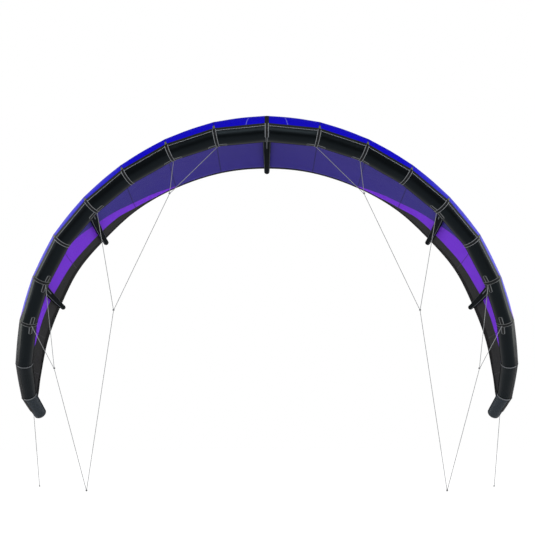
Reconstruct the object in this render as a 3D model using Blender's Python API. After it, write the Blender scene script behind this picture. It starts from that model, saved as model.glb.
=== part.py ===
"""A nine square metre inflatable kitesurfing kite, in metres.

X runs along the span, Y from the leading edge back to the trailing edge, and Z up. The origin is
the centre of the leading edge tube at the middle strut. One half is worked out with X outward
and mirrored for the other, because every sewn piece of a kite has its mirror image.
"""

import math

import bmesh
import bpy
from mathutils import Matrix, Vector

# Leading edge: the sewn length of one half and its ten straight panels, from centre to tip
LEADING_EDGE_HALF_LENGTH = 3.889
PANEL_LENGTH_SHARES = (0.109, 0.1045, 0.1065, 0.1035, 0.103, 0.1055, 0.103, 0.1105, 0.1025, 0.052)
PANEL_DIP_DEG = (5.3, 17.4, 28.8, 38.4, 48.3, 60.4, 70.1, 79.5, 93.0, 115.8)
PANEL_SWEEP_DEG = (2.0, 6.0, 9.0, 11.0, 12.5, 16.0, 20.5, 28.5, 37.0, 39.0)
CENTRE_TUBE_DIAMETER = 0.165
TUBE_DIAMETER_SHARES = (1.0, 0.985, 0.97, 0.955, 0.94, 0.92, 0.905, 0.89, 0.87, 0.8, 0.7)
TIP_DOME_DEPTH = 0.034
TUBE_SIDES = 24
DOME_STEPS = 3

# Cloth and film: the walls of the sleeves and of the bladders in them
SLEEVE_WALL = 0.0015
BLADDER_WALL = 0.0012
BLADDER_SIDES = 12
SEAT_GAP = 0.0003

# Struts: the joints of the leading edge that carry them, and their tapered tubes
STRUT_JOINTS = (0, 4, 6)
STRUT_STATION_SHARES = (0.0, 0.4, 0.75, 1.0)
STRUT_WIDTHS = (0.1, 0.086, 0.071, 0.05)
STRUT_SLIMMING_SHARES = (1.0, 0.95, 0.88)
STRUT_ROOT_TOP_DEG = -14.0
STRUT_ROOT_BOTTOM_DEG = -92.0
STRUT_FREE_REACH = 0.27
STRUT_STEP = 0.18
STRUT_OVERHANG = 0.024
STRUT_END_DOME = 0.012
STRUT_SIDES = 16
STRUT_NAMES = ("centre", "inner", "outer")
SADDLE_GAP = 0.0009
STRUT_BLADDER_SIDES = 8
BLADDER_NECK_DIAMETER = 0.03
BLADDER_NECK_LENGTH = 0.015
BLADDER_SHOULDER = 0.04

# Canopy: chord and direction of the section at each joint
CENTRE_CHORD = 1.632
RIB_STATIONS = (0.0, 1.0, 2.0, 3.0, 4.0, 5.0, 6.0, 7.0, 8.0, 9.0, 9.7)
RIB_CHORD_SHARES = (1.0, 0.988, 0.961, 0.921, 0.871, 0.803, 0.73, 0.632, 0.486, 0.305, 0.218)
RIB_DROP_DEG = (7.1, 7.3, 8.15, 8.95, 10.95, 11.4, 11.9, 11.6, 11.6, 4.9, 4.5)
RIB_TOE_DEG = (0.0, 0.1, 1.35, 1.75, 1.7, 0.7, -0.7, -1.5, -2.5, 1.5, 14.0)
RIB_FULLNESS_SHARES = (0.95, 0.87, 0.78, 0.74, 0.68, 0.6, 0.52, 0.53, 0.61, 0.62, 0.62)
SEAM_ANGLE_DEG = 33.0
LEAD_REACH_SHARE = 0.24
TAIL_REACH_SHARE = 0.42
TAIL_ANGLE_DEG = 23.0
CANOPY_THICKNESS = 0.0024
SEAM_GAP = 0.0009
SLOPE_STEP_SHARE = 0.01
SHARP_ANGLE = math.radians(40)

# Where the purple and the charcoal cloth begin, as shares of the section from seam to hem
PURPLE_STATIONS = (1.9, 2.5, 3.0, 3.5, 4.0, 4.5, 5.0, 5.5, 6.0, 6.5, 7.0)
PURPLE_FRONT_SHARES = (0.99, 0.95, 0.912, 0.85, 0.786, 0.726, 0.67, 0.58, 0.45, 0.26, 0.0)
CHARCOAL_STATIONS = (2.4, 3.0, 3.5, 4.0, 4.5, 5.0, 5.5, 6.0, 6.5, 7.0, 7.5, 8.0, 8.5, 9.0)
CHARCOAL_FRONT_SHARES = (
    0.992, 0.967, 0.925, 0.908, 0.901, 0.88, 0.858, 0.822, 0.806, 0.799, 0.766, 0.68, 0.45, 0.0,
)
CLOTH_COLUMNS = 2
LEAST_PANEL_WIDTH = 0.004
INDIGO_ROWS = 8
STRIP_ROWS = 3
TIP_ROWS = 6
ROW_BUNCHING = 2
FRONT_COLUMNS = 4

# Bays between the struts, counted in panels, and the last rib of the cloth
INNER_BAY_END = 4
MIDDLE_BAY_END = 6
PURPLE_START, INDIGO_END = PURPLE_STATIONS[0], PURPLE_STATIONS[-1]
CHARCOAL_START, PURPLE_END = CHARCOAL_STATIONS[0], CHARCOAL_STATIONS[-1]
CLOTH_EDGES = (PURPLE_START, CHARCOAL_START, INDIGO_END, PURPLE_END)
LAST_RIB = RIB_STATIONS[-1]
SIDES = ((1, "right"), (-1, "left"))

# Trailing edge hem of folded webbing, with a tab at each wing tip
HEM_WIDTH = 0.012
HEM_THICKNESS = 0.003
TIP_TAB_LENGTH = 0.03

# Inflation valve on the back of the leading edge, left of the middle, with its plug and cap
VALVE_PLACE = 0.33
VALVE_FACET = 16
VALVE_HOLE = 0.022
VALVE_FLANGE_RADIUS = 0.021
VALVE_FLANGE_THICKNESS = 0.0016
VALVE_NECK_RADIUS = 0.012
VALVE_NECK_HEIGHT = 0.012
VALVE_BORE_RADIUS = 0.0075
VALVE_SIDES = 24
PLUG_DEPTH = 0.009
PLUG_CHAMFER = 0.001
CAP_RADIUS = 0.0135
CAP_THICKNESS = 0.0025
HINGE_REACH = 0.0185
HINGE_WIDTH = 0.006
HINGE_POST = 0.003

# Hoses that carry air from the leading edge to each strut
HOSE_DIAMETER = 0.014
HOSE_WALL = 0.0015
HOSE_OFFSET = 0.11
HOSE_TUBE_FACET = 17
HOSE_STRUT_FACET = 4
HOSE_STRUT_SHARE = 0.2
HOSE_REACH = 0.06
HOSE_SIDES = 8
PINCHED_THICKNESS = 0.0044
PINCHED_WIDTH_SHARE = 1.393
PINCHED_WIDTH = HOSE_DIAMETER * PINCHED_WIDTH_SHARE
PINCHED_LENGTH = 0.018
PINCH_EASE = 0.02
PATH_STEPS = 24

# Pinch clips on the hoses: a base with a round bead, and a jaw whose hook turns on the bead
CLIP_LENGTH = 0.012
CLIP_WALL = 0.002
BEAD_RADIUS = 0.0018
BEAD_RISE = 0.0015
BEAD_NECK = 0.0014
HOOK_WALL = 0.0014
HOOK_START_DEG = -60.0
HOOK_END_DEG = 180.0
ARC_STEPS = 10

# Lines on the half with X outward, as routes chosen by hand: from one fastening down to a knot
# and up to the next one
LINE_DIAMETER = 0.005
LINE_ROUND_STEPS = 2
KNOT_SHARE = 1.9
NECK_SHARE = 0.4
LINE_STEPS = 2
INNER_BRIDLE_ROUTE = (
    (0.4065, 0.0004, -0.1209),
    (0.8020, 0.0702, -0.4994),
    (0.8120, 0.0720, -0.5090),
    (0.8102, 0.0707, -0.4952),
    (0.7769, 0.0461, -0.2356),
)
MIDDLE_BRIDLE_ROUTE = (
    (0.8144, 0.0726, -0.5140),
    (1.2849, 0.1915, -1.4725),
    (1.2910, 0.1930, -1.4850),
    (1.2933, 0.1927, -1.4712),
    (1.4272, 0.1748, -0.6612),
)
OUTER_BRIDLE_ROUTE = (
    (1.8851, 0.3495, -1.2759),
    (1.8193, 0.3971, -1.9781),
    (1.8180, 0.3980, -1.9920),
    (1.8248, 0.4007, -1.9800),
    (2.0247, 0.4820, -1.6261),
)
FRONT_LINE_ROUTE = (
    (1.2918, 0.1933, -1.4905),
    (1.5278, 0.2891, -3.0052),
    (1.5300, 0.2900, -3.0190),
    (1.5338, 0.2914, -3.0056),
    (1.8165, 0.3975, -1.9974),
)
BACK_LINE_ROUTE = (
    (2.1476, 1.4112, -2.4377),
    (2.1430, 1.4112, -2.4900),
    (2.0914, 1.4112, -3.1376),
)

# Colour and roughness of each material
SLEEVE_CLOTH = ((0.006, 0.008, 0.011), 0.55)
INDIGO_CLOTH = ((0.034, 0.026, 0.168), 0.5)
PURPLE_CLOTH = ((0.127, 0.032, 0.456), 0.5)
CHARCOAL_CLOTH = ((0.027, 0.027, 0.028), 0.55)
HEM_WEBBING = ((0.008, 0.008, 0.009), 0.7)
BLADDER_FILM = ((0.55, 0.57, 0.6), 0.25)
BRAIDED_LINE = ((0.3, 0.3, 0.31), 0.65)
HARD_PLASTIC = ((0.12, 0.12, 0.13), 0.4)
SOFT_PLASTIC = ((0.22, 0.22, 0.24), 0.5)
HOSE_RUBBER = ((0.42, 0.43, 0.45), 0.35)


def smooth_through(stations, values, place):
    """A smooth curve through values, numbers or vectors, that stand at rising stations."""
    last = len(stations) - 2
    i = 0
    while i < last and place > stations[i + 1]:
        i += 1

    def slope(k):
        low, high = max(k - 1, 0), min(k + 1, len(stations) - 1)
        return (values[high] - values[low]) / (stations[high] - stations[low])

    width = stations[i + 1] - stations[i]
    f = (place - stations[i]) / width
    start, end = values[i], values[i + 1]
    rise = slope(i) * width
    fall = slope(i + 1) * width
    return (
        start * (2 * f**3 - 3 * f**2 + 1)
        + rise * (f**3 - 2 * f**2 + f)
        + end * (3 * f**2 - 2 * f**3)
        + fall * (f**3 - f**2)
    )


def panel_directions():
    directions = []
    for dip, sweep in zip(PANEL_DIP_DEG, PANEL_SWEEP_DEG):
        dip, sweep = math.radians(dip), math.radians(sweep)
        directions.append(
            Vector((
                math.cos(dip) * math.cos(sweep),
                math.sin(sweep),
                -math.sin(dip) * math.cos(sweep),
            ))
        )
    return directions


PANEL_DIRECTIONS = panel_directions()
JOINTS = len(PANEL_DIRECTIONS)
FORWARD = Vector((0, -1, 0))


def joint_centres():
    centres = [Vector((0, 0, 0))]
    for share, direction in zip(PANEL_LENGTH_SHARES, PANEL_DIRECTIONS):
        centres.append(centres[-1] + direction * LEADING_EDGE_HALF_LENGTH * share)
    return centres


JOINT_CENTRES = joint_centres()


def joint_frame(i):
    """Along, outward and forward at a joint, and the bend that its mitre cuts across."""
    after = PANEL_DIRECTIONS[min(i, JOINTS - 1)]
    if i == 0:
        before = Vector((after.x, -after.y, -after.z))
    else:
        before = PANEL_DIRECTIONS[i - 1]
    along = (before + after).normalized()
    forward = (FORWARD - FORWARD.dot(along) * along).normalized()
    outward = forward.cross(along)
    bend = after - before
    stretch = 1 / along.dot(after) - 1
    if bend.length > 0:
        bend.normalize()
    return along, outward, forward, bend, stretch


JOINT_FRAMES = [joint_frame(i) for i in range(JOINTS + 1)]


def split_place(place):
    i = min(int(place), JOINTS - 1)
    return i, place - i


def frame_at(place):
    """Outward and forward at a place between joints, counted in panels from the centre."""
    i, f = split_place(place)
    outward = JOINT_FRAMES[i][1].lerp(JOINT_FRAMES[i + 1][1], f).normalized()
    forward = JOINT_FRAMES[i][2].lerp(JOINT_FRAMES[i + 1][2], f)
    forward = (forward - forward.dot(outward) * outward).normalized()
    return outward, forward


def centre_at(place):
    i, f = split_place(place)
    return JOINT_CENTRES[i].lerp(JOINT_CENTRES[i + 1], f)


def tube_radius(i):
    return CENTRE_TUBE_DIAMETER / 2 * TUBE_DIAMETER_SHARES[i]


def mitre_point(i, angle, clearance):
    """A point on the tube's mitred joint, angle going from outward to forward."""
    _, outward, forward, bend, stretch = JOINT_FRAMES[i]
    arm = (outward * math.cos(angle) + forward * math.sin(angle)) * (tube_radius(i) + clearance)
    return JOINT_CENTRES[i] + arm + bend * arm.dot(bend) * stretch


def tube_point(place, angle, clearance=0.0):
    """A point on the leading edge's straight panels, or clearance outside them."""
    i, f = split_place(place)
    return mitre_point(i, angle, clearance).lerp(mitre_point(i + 1, angle, clearance), f)


def tube_ring(place, sides, clearance=0.0):
    return [tube_point(place, math.tau * k / sides, clearance) for k in range(sides)]


def dome_rings(sides, clearance=0.0):
    """The rounded end past the last joint, without its pole."""
    along = PANEL_DIRECTIONS[-1]
    radius = tube_radius(JOINTS) + clearance
    rings = []
    for step in range(1, DOME_STEPS):
        turn = math.pi / 2 * step / DOME_STEPS
        shrink = -tube_radius(JOINTS) + radius * math.cos(turn)
        rise = (TIP_DOME_DEPTH + clearance) * math.sin(turn)
        rings.append([point + along * rise for point in tube_ring(JOINTS, sides, shrink)])
    return rings


def dome_pole(clearance=0.0):
    return JOINT_CENTRES[-1] + PANEL_DIRECTIONS[-1] * (TIP_DOME_DEPTH + clearance)


def chord_vector(k):
    drop, toe = math.radians(RIB_DROP_DEG[k]), math.radians(RIB_TOE_DEG[k])
    direction = Vector((math.cos(drop) * math.sin(toe), math.cos(drop) * math.cos(toe), -math.sin(drop)))
    return direction * CENTRE_CHORD * RIB_CHORD_SHARES[k]


def trailing_stations():
    """The trailing edge's points at the ribs, with the mirror image of the first one before them."""
    points = [centre_at(s) + chord_vector(k) for k, s in enumerate(RIB_STATIONS)]
    before = Vector((-points[1].x, points[1].y, points[1].z))
    return [-RIB_STATIONS[1], *RIB_STATIONS], [before, *points]


TRAILING_STATIONS, TRAILING_POINTS = trailing_stations()
SEAM_ANGLE = math.radians(SEAM_ANGLE_DEG)
TAIL_ANGLE = math.radians(TAIL_ANGLE_DEG)


def trailing_point(place):
    return smooth_through(TRAILING_STATIONS, TRAILING_POINTS, place)


def rib_handles(place):
    """The section's Bezier points, from the seam on the tube to the trailing edge."""
    outward = frame_at(place)[0]
    tail = trailing_point(place)
    chord = tail - centre_at(place)
    length = chord.length
    chord.normalize()
    lift = (outward - outward.dot(chord) * chord).normalized()
    full = smooth_through(RIB_STATIONS, RIB_FULLNESS_SHARES, place)
    fall = TAIL_ANGLE * full
    seam = tube_point(place, SEAM_ANGLE, CANOPY_THICKNESS / 2 + SEAM_GAP)
    beside = tube_point(place, SEAM_ANGLE - SLOPE_STEP_SHARE, CANOPY_THICKNESS / 2 + SEAM_GAP)
    leaving = (beside - seam).normalized()
    arriving = chord * math.cos(fall) - lift * math.sin(fall)
    return (
        seam,
        seam + leaving * LEAD_REACH_SHARE * full * length,
        tail - arriving * TAIL_REACH_SHARE * length,
        tail,
    )


def canopy_point(place, share):
    """The middle of the cloth, share going from the seam to the trailing edge."""
    a, b, c, d = rib_handles(place)
    rest = 1 - share
    return a * rest**3 + b * 3 * rest**2 * share + c * 3 * rest * share**2 + d * share**3


def mirrored(point):
    return Vector((-point.x, point.y, point.z))


def span_point(place, share):
    """The middle of the cloth at a place counted outward, or on the far half where it is negative."""
    point = canopy_point(abs(place), share)
    return point if place >= 0 else mirrored(point)


def span_tube_point(place, angle, clearance=0.0):
    point = tube_point(abs(place), angle, clearance)
    return point if place >= 0 else mirrored(point)


def canopy_axes(place, share):
    """Rearward, upward and sideways directions of the cloth."""
    step = SLOPE_STEP_SHARE
    back = (span_point(place, share + step) - span_point(place, share - step)).normalized()
    across = span_point(place + step, share) - span_point(place - step, share)
    up = across.cross(back).normalized()
    return back, up, back.cross(up)


def chord_length(place):
    return (trailing_point(place) - centre_at(place)).length


def panel_length(place):
    return LEADING_EDGE_HALF_LENGTH * PANEL_LENGTH_SHARES[split_place(abs(place))[0]]


def place_step(place, distance):
    """How much further along the span, in panels, a distance reaches."""
    return distance / panel_length(place)


def finish(name, look):
    colour, roughness = look
    material = bpy.data.materials.new(name)
    material.use_nodes = True
    shader = material.node_tree.nodes["Principled BSDF"]
    shader.inputs["Base Color"].default_value = (*colour, 1)
    shader.inputs["Roughness"].default_value = roughness
    return material


def add_part(name, shape, material, side=1, matrix=None):
    """One named solid from a bmesh, mirrored to the other half where side is -1."""
    for vertex in shape.verts:
        vertex.co.x *= side
    bmesh.ops.recalc_face_normals(shape, faces=shape.faces)
    mesh = bpy.data.meshes.new(name)
    shape.to_mesh(mesh)
    shape.free()
    mesh.shade_smooth()
    mesh.set_sharp_from_angle(angle=SHARP_ANGLE)
    mesh.materials.append(material)
    return add_copy(name, mesh, matrix)


def add_copy(name, mesh, matrix=None):
    part = bpy.data.objects.new(name, mesh)
    bpy.context.collection.objects.link(part)
    if matrix is not None:
        part.matrix_world = matrix
    return part


def bridge(shape, first, second):
    """Faces between two closed rings of as many points."""
    for k in range(len(first)):
        after = (k + 1) % len(first)
        shape.faces.new((first[k], first[after], second[after], second[k]))


def close_onto(shape, ring, pole):
    tip = shape.verts.new(pole)
    for k in range(len(ring)):
        shape.faces.new((ring[k], ring[(k + 1) % len(ring)], tip))


def skin(shape, rings, first_pole=None, last_pole=None):
    """A skin through rings of points, closed onto a pole at either end if one is given."""
    made = [[shape.verts.new(point) for point in ring] for ring in rings]
    for ring, after in zip(made, made[1:]):
        bridge(shape, ring, after)
    if first_pole is not None:
        close_onto(shape, made[0], first_pole)
    if last_pole is not None:
        close_onto(shape, made[-1], last_pole)
    return made


def pierce(shape, outer, inner, row, facet):
    """An opening through both skins of a wall, one facet wide and one row long."""
    rims = []
    for rings in (outer, inner):
        after = (facet + 1) % len(rings[row])
        rim = [rings[row][facet], rings[row][after], rings[row + 1][after], rings[row + 1][facet]]
        shape.faces.remove(shape.faces.get(rim))
        rims.append(rim)
    bridge(shape, *rims)


def circle(middle, up, side, radius, sides):
    turns = [math.tau * k / sides for k in range(sides)]
    return [middle + (up * math.cos(turn) + side * math.sin(turn)) * radius for turn in turns]


def turned(profile, sides, closed=False):
    """A turned piece about Z: a loop round a bore, or a solid between two poles on the axis."""
    shape = bmesh.new()
    rings = [circle(Vector((0, 0, z)), Vector((1, 0, 0)), Vector((0, 1, 0)), r, sides) for r, z in profile]
    if closed:
        made = skin(shape, rings)
        bridge(shape, made[-1], made[0])
    else:
        skin(shape, rings, Vector((0, 0, profile[0][1])), Vector((0, 0, profile[-1][1])))
    return shape


def prism(outline, low, high, axis):
    """An outline in the two directions beside axis, from low to high along it."""
    shape = bmesh.new()
    ends = []
    for level in (low, high):
        points = [Vector((u, level, v)) if axis == "Y" else Vector((u, v, level)) for u, v in outline]
        ends.append([shape.verts.new(point) for point in points])
        shape.faces.new(ends[-1])
    bridge(shape, *ends)
    return shape


def arc(centre, radius, start, end, steps=None):
    """Points along an arc, from one angle to another."""
    steps = steps or ARC_STEPS
    angles = [start + (end - start) * k / steps for k in range(steps + 1)]
    return [(centre[0] + radius * math.cos(a), centre[1] + radius * math.sin(a)) for a in angles]


# Leading edge: sewn sleeves of three bays on each half, and one bladder through all of them

def bay_places(start, end):
    gap = place_step(start, SEAT_GAP / 2)
    places = [start + gap, *range(start + 1, end), end - gap]
    if end == JOINTS:
        places[-1] = end
    return places


def with_valve_places(places):
    """The same places, with the two edges of the valve's opening added."""
    half = place_step(VALVE_PLACE, VALVE_HOLE / 2)
    edges = [VALVE_PLACE - half, VALVE_PLACE + half]
    return sorted([*places, *edges]), edges[0]


def leading_edge_bay(name, start, end, material, side):
    places = bay_places(start, end)
    valved = start == 0 and side < 0
    if valved:
        places, opening = with_valve_places(places)
    outer = [tube_ring(place, TUBE_SIDES) for place in places]
    inner = [tube_ring(place, TUBE_SIDES, -SLEEVE_WALL) for place in places]
    poles = [None, None]
    if end == JOINTS:
        outer += dome_rings(TUBE_SIDES)
        inner += dome_rings(TUBE_SIDES, -SLEEVE_WALL)
        poles = [dome_pole(), dome_pole(-SLEEVE_WALL)]
    shape = bmesh.new()
    outer = skin(shape, outer, None, poles[0])
    inner = skin(shape, inner, None, poles[1])
    bridge(shape, outer[0], inner[0])
    if end < JOINTS:
        bridge(shape, outer[-1], inner[-1])
    if valved:
        pierce(shape, outer, inner, places.index(opening), VALVE_FACET)
    add_part(name, shape, material, side)


def leading_edge_bladder(material):
    """A film tube from tip to tip, open at the valve's port on the half with X negative."""
    valved, opening = with_valve_places(list(range(JOINTS + 1)))
    shape = bmesh.new()
    far_skins = []
    for clearance in (-SLEEVE_WALL - SEAT_GAP, -SLEEVE_WALL - SEAT_GAP - BLADDER_WALL):
        domes = dome_rings(BLADDER_SIDES, clearance)
        pole = dome_pole(clearance)
        near = [tube_ring(place, BLADDER_SIDES, clearance) for place in range(JOINTS + 1)] + domes
        far = [tube_ring(place, BLADDER_SIDES, clearance) for place in valved] + domes
        far = [[mirrored(point) for point in ring] for ring in far]
        skin(shape, near, None, pole)
        far_skins.append(skin(shape, far, None, mirrored(pole)))
    pierce(shape, *far_skins, valved.index(opening), VALVE_FACET * BLADDER_SIDES // TUBE_SIDES)
    bmesh.ops.remove_doubles(shape, verts=shape.verts, dist=SEAT_GAP / 2)
    add_part("leading_edge_bladder", shape, material)


# Struts: tapered sleeves that seat on the leading edge and carry the cloth, each with its bladder

def hem_share(place):
    """Where the hem begins along the section."""
    return 1 - HEM_WIDTH / (3 * TAIL_REACH_SHARE * chord_length(place))


def cloth_front(stations, shares, place):
    """Where a cloth begins: at the hem before its first station and at the seam past its last."""
    if place < stations[0]:
        return hem_share(place)
    if place > stations[-1]:
        return 0.0
    least = LEAST_PANEL_WIDTH / chord_length(place)
    front = smooth_through(stations, shares, place)
    return min(max(front, least), hem_share(place) - least)


def purple_front(place):
    return cloth_front(PURPLE_STATIONS, PURPLE_FRONT_SHARES, place)


def charcoal_front(place):
    return cloth_front(CHARCOAL_STATIONS, CHARCOAL_FRONT_SHARES, place)


def seam(place):
    return 0.0


def row_shares(front, rear, rows, bunching=1):
    """Rows of points across a cloth, even or bunched toward the round leading edge."""
    return [front + (rear - front) * (k / rows) ** bunching for k in range(rows + 1)]


def section_shares(place):
    """The shares at which the cloth has a row of points, from the seam to the hem."""
    purple, charcoal, hem = purple_front(place), charcoal_front(place), hem_share(place)
    shares = row_shares(seam(place), purple, INDIGO_ROWS, ROW_BUNCHING)
    if charcoal > purple:
        shares += row_shares(purple, charcoal, STRIP_ROWS)[1:]
    if hem > charcoal:
        shares += row_shares(charcoal, hem, STRIP_ROWS)[1:]
    return shares


def strut_shares(joint):
    """Rows of the cloth where the strut has a ring, from its first free one to the trailing edge."""
    shares = []
    last, reach = centre_at(joint), STRUT_FREE_REACH
    for share in section_shares(joint):
        point = canopy_point(joint, share)
        if (point - last).length > reach:
            shares.append(share)
            last, reach = point, STRUT_STEP
    return [*shares, 1.0]


def strut_sections(joint, slimming):
    """Middle, axes and radius of the strut under rows of the cloth, and at its straight end."""
    sections = []
    for share in strut_shares(joint):
        back, up, side = canopy_axes(joint, share)
        radius = smooth_through(STRUT_STATION_SHARES, STRUT_WIDTHS, share) * slimming / 2
        middle = canopy_point(joint, share) - up * (radius + HEM_THICKNESS / 2 + SEAT_GAP)
        sections.append((middle, back, up, side, radius))
    middle, back, up, side, radius = sections[-1]
    sections.append((middle + back * (STRUT_OVERHANG - STRUT_END_DOME), back, up, side, radius))
    return sections


def saddle_ring(joint, radius, inset):
    """The strut's front rim, lying on the leading edge's round back."""
    top, bottom = math.radians(STRUT_ROOT_TOP_DEG), math.radians(STRUT_ROOT_BOTTOM_DEG)
    half = (top - bottom) / 2 - inset / tube_radius(joint)
    reach = place_step(joint, radius - inset)
    ring = []
    for k in range(STRUT_SIDES):
        turn = math.tau * k / STRUT_SIDES
        angle = (top + bottom) / 2 + half * math.cos(turn)
        ring.append(span_tube_point(joint + reach * math.sin(turn), angle, SADDLE_GAP))
    return ring


def strut_skin(joint, slimming, inset):
    """The rings and the rear pole of a strut's sleeve, inset from its outer side."""
    rings = [saddle_ring(joint, STRUT_WIDTHS[0] * slimming / 2, inset)]
    for middle, back, up, side, radius in strut_sections(joint, slimming):
        rings.append(circle(middle, up, side, radius - inset, STRUT_SIDES))
    depth = STRUT_END_DOME - inset
    turn = math.pi / 4
    shrunk = (radius - inset) * math.cos(turn)
    rings.append(circle(middle + back * depth * math.sin(turn), up, side, shrunk, STRUT_SIDES))
    return rings, middle + back * depth


def strut_sleeve(name, joint, slimming, material, side):
    shape = bmesh.new()
    rims = []
    for inset in (0.0, SLEEVE_WALL):
        rings, pole = strut_skin(joint, slimming, inset)
        rims.append(skin(shape, rings, None, pole)[0])
    bridge(shape, *rims)
    add_part(name, shape, material, side)


def strut_bladder(name, joint, slimming, material, side):
    """A film tube with an open neck toward the leading edge."""
    sections = strut_sections(joint, slimming)
    shape = bmesh.new()
    rims = []
    for inset in (SLEEVE_WALL + SEAT_GAP, SLEEVE_WALL + SEAT_GAP + BLADDER_WALL):
        middle, back, up, sideways, radius = sections[0]
        neck = BLADDER_NECK_DIAMETER / 2 - inset
        shoulder = middle - back * BLADDER_SHOULDER
        rings = [
            circle(shoulder - back * BLADDER_NECK_LENGTH, up, sideways, neck, STRUT_BLADDER_SIDES),
            circle(shoulder, up, sideways, neck, STRUT_BLADDER_SIDES),
        ]
        for middle, back, up, sideways, radius in sections:
            rings.append(circle(middle, up, sideways, radius - inset, STRUT_BLADDER_SIDES))
        pole = middle + back * (STRUT_END_DOME - inset - SEAT_GAP)
        rims.append(skin(shape, rings, None, pole)[0])
    bridge(shape, *rims)
    add_part(name, shape, material, side)


# Canopy: panels of cloth between the seam on the tube and the hem

def cloth_places(start, end):
    """Columns at half panels, at both sides of a cloth's end, and closer where a front meets the tube."""
    half = place_step(start, SEAT_GAP / 2)
    places = {start, end}
    for k in range(math.ceil(LAST_RIB * CLOTH_COLUMNS) + 1):
        places.add(k / CLOTH_COLUMNS)
    for edge in CLOTH_EDGES:
        places |= {edge - half, edge + half}
    for edge in (INDIGO_END, PURPLE_END):
        places |= {edge - 1 / CLOTH_COLUMNS / 2**k for k in range(1, FRONT_COLUMNS + 1)}
    return sorted(place for place in places if start <= place <= end)


def cloth_panel(name, front, rear, start, end, rows, bunching, material, side):
    """A closed sheet of cloth between two lines along the span, a small gap short of its neighbours."""
    short = SEAT_GAP / 2
    places = cloth_places(start + place_step(start, short), end - place_step(end - 1, short))
    shape = bmesh.new()
    upper, lower = [], []
    for place in places:
        half = SEAT_GAP / 2 / chord_length(place)
        shares = row_shares(front(place) + half, rear(place) - half, rows, bunching)
        lift = [canopy_axes(place, share)[1] * CANOPY_THICKNESS / 2 for share in shares]
        middle = [canopy_point(place, share) for share in shares]
        upper.append([shape.verts.new(point + up) for point, up in zip(middle, lift)])
        lower.append([shape.verts.new(point - up) for point, up in zip(middle, lift)])
    for grid in (upper, lower):
        for column, after in zip(grid, grid[1:]):
            for k in range(rows):
                shape.faces.new((column[k], column[k + 1], after[k + 1], after[k]))
    bridge(shape, rim_of(upper), rim_of(lower))
    add_part(name, shape, material, side)


def rim_of(grid):
    """The points round the edge of a grid, in order."""
    front = [column[0] for column in grid]
    rear = [column[-1] for column in grid]
    return front + grid[-1][1:-1] + rear[::-1] + grid[0][-2:0:-1]


def canopy(cloths, side, label):
    indigo, purple, charcoal = cloths
    from_seam, strip = (INDIGO_ROWS, ROW_BUNCHING), (STRIP_ROWS, 1)
    tip = (TIP_ROWS, ROW_BUNCHING)
    bays = (
        ("indigo_inner", seam, purple_front, 0, INNER_BAY_END, from_seam, indigo),
        ("indigo_middle", seam, purple_front, INNER_BAY_END, MIDDLE_BAY_END, from_seam, indigo),
        ("indigo_outer", seam, purple_front, MIDDLE_BAY_END, INDIGO_END, from_seam, indigo),
        ("purple_inner", purple_front, charcoal_front, PURPLE_START, MIDDLE_BAY_END, strip, purple),
        ("purple_outer", purple_front, charcoal_front, MIDDLE_BAY_END, PURPLE_END, tip, purple),
        ("charcoal_inner", charcoal_front, hem_share, CHARCOAL_START, MIDDLE_BAY_END, strip, charcoal),
        ("charcoal_tip", charcoal_front, hem_share, MIDDLE_BAY_END, LAST_RIB, tip, charcoal),
    )
    for name, front, rear, start, end, rows, material in bays:
        cloth_panel(f"canopy_{name}_{label}", front, rear, start, end, *rows, material, side)


def hem_ring(place, drop=0.0):
    """The hem's four corners, drop below the cloth's corner at the tip."""
    half = SEAT_GAP / 2 / chord_length(place)
    ring = []
    for share, way in ((hem_share(place) + half, 1), (1.0, 1), (1.0, -1), (hem_share(place) + half, -1)):
        up = canopy_axes(place, share)[1] * way
        ring.append(canopy_point(place, share) + up * HEM_THICKNESS / 2 - Vector((0, 0, drop)))
    return ring


def trailing_edge_hem(material):
    rings = [hem_ring(place) for place in cloth_places(0, LAST_RIB)]
    rings.append(hem_ring(LAST_RIB, TIP_TAB_LENGTH))
    far = [[mirrored(point) for point in ring] for ring in rings[:0:-1]]
    shape = bmesh.new()
    made = skin(shape, far + rings)
    shape.faces.new(made[0])
    shape.faces.new(made[-1])
    add_part("trailing_edge_hem", shape, material)


# Bridle and back lines

def line_points(route):
    """A smooth line through the route's own points."""
    points = [Vector(point) for point in route]
    stations = [0.0]
    for point, after in zip(points, points[1:]):
        stations.append(stations[-1] + (after - point).length)
    places = []
    for station, after in zip(stations, stations[1:]):
        places += [station + (after - station) * k / LINE_STEPS for k in range(LINE_STEPS)]
    places.append(stations[-1])
    return [smooth_through(stations, points, place) for place in places]


def line(name, route, girths, pivot, material, side):
    """A round line, thicker or thinner where girths says so, its origin at the pivot it swings from."""
    curve = bpy.data.curves.new(name, "CURVE")
    curve.dimensions = "3D"
    curve.bevel_depth = LINE_DIAMETER / 2
    curve.bevel_resolution = LINE_ROUND_STEPS
    curve.use_fill_caps = True
    points = line_points(route)
    spline = curve.splines.new("POLY")
    spline.points.add(len(points) - 1)
    origin = Vector((pivot[0] * side, pivot[1], pivot[2]))
    for k, point in enumerate(points):
        place = Vector((point.x * side, point.y, point.z)) - origin
        spline.points[k].co = (*place, 1)
        spline.points[k].radius = girths.get(k / LINE_STEPS, 1.0)
    curve.materials.append(material)
    part = bpy.data.objects.new(name, curve)
    bpy.context.collection.objects.link(part)
    part.location = origin


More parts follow.
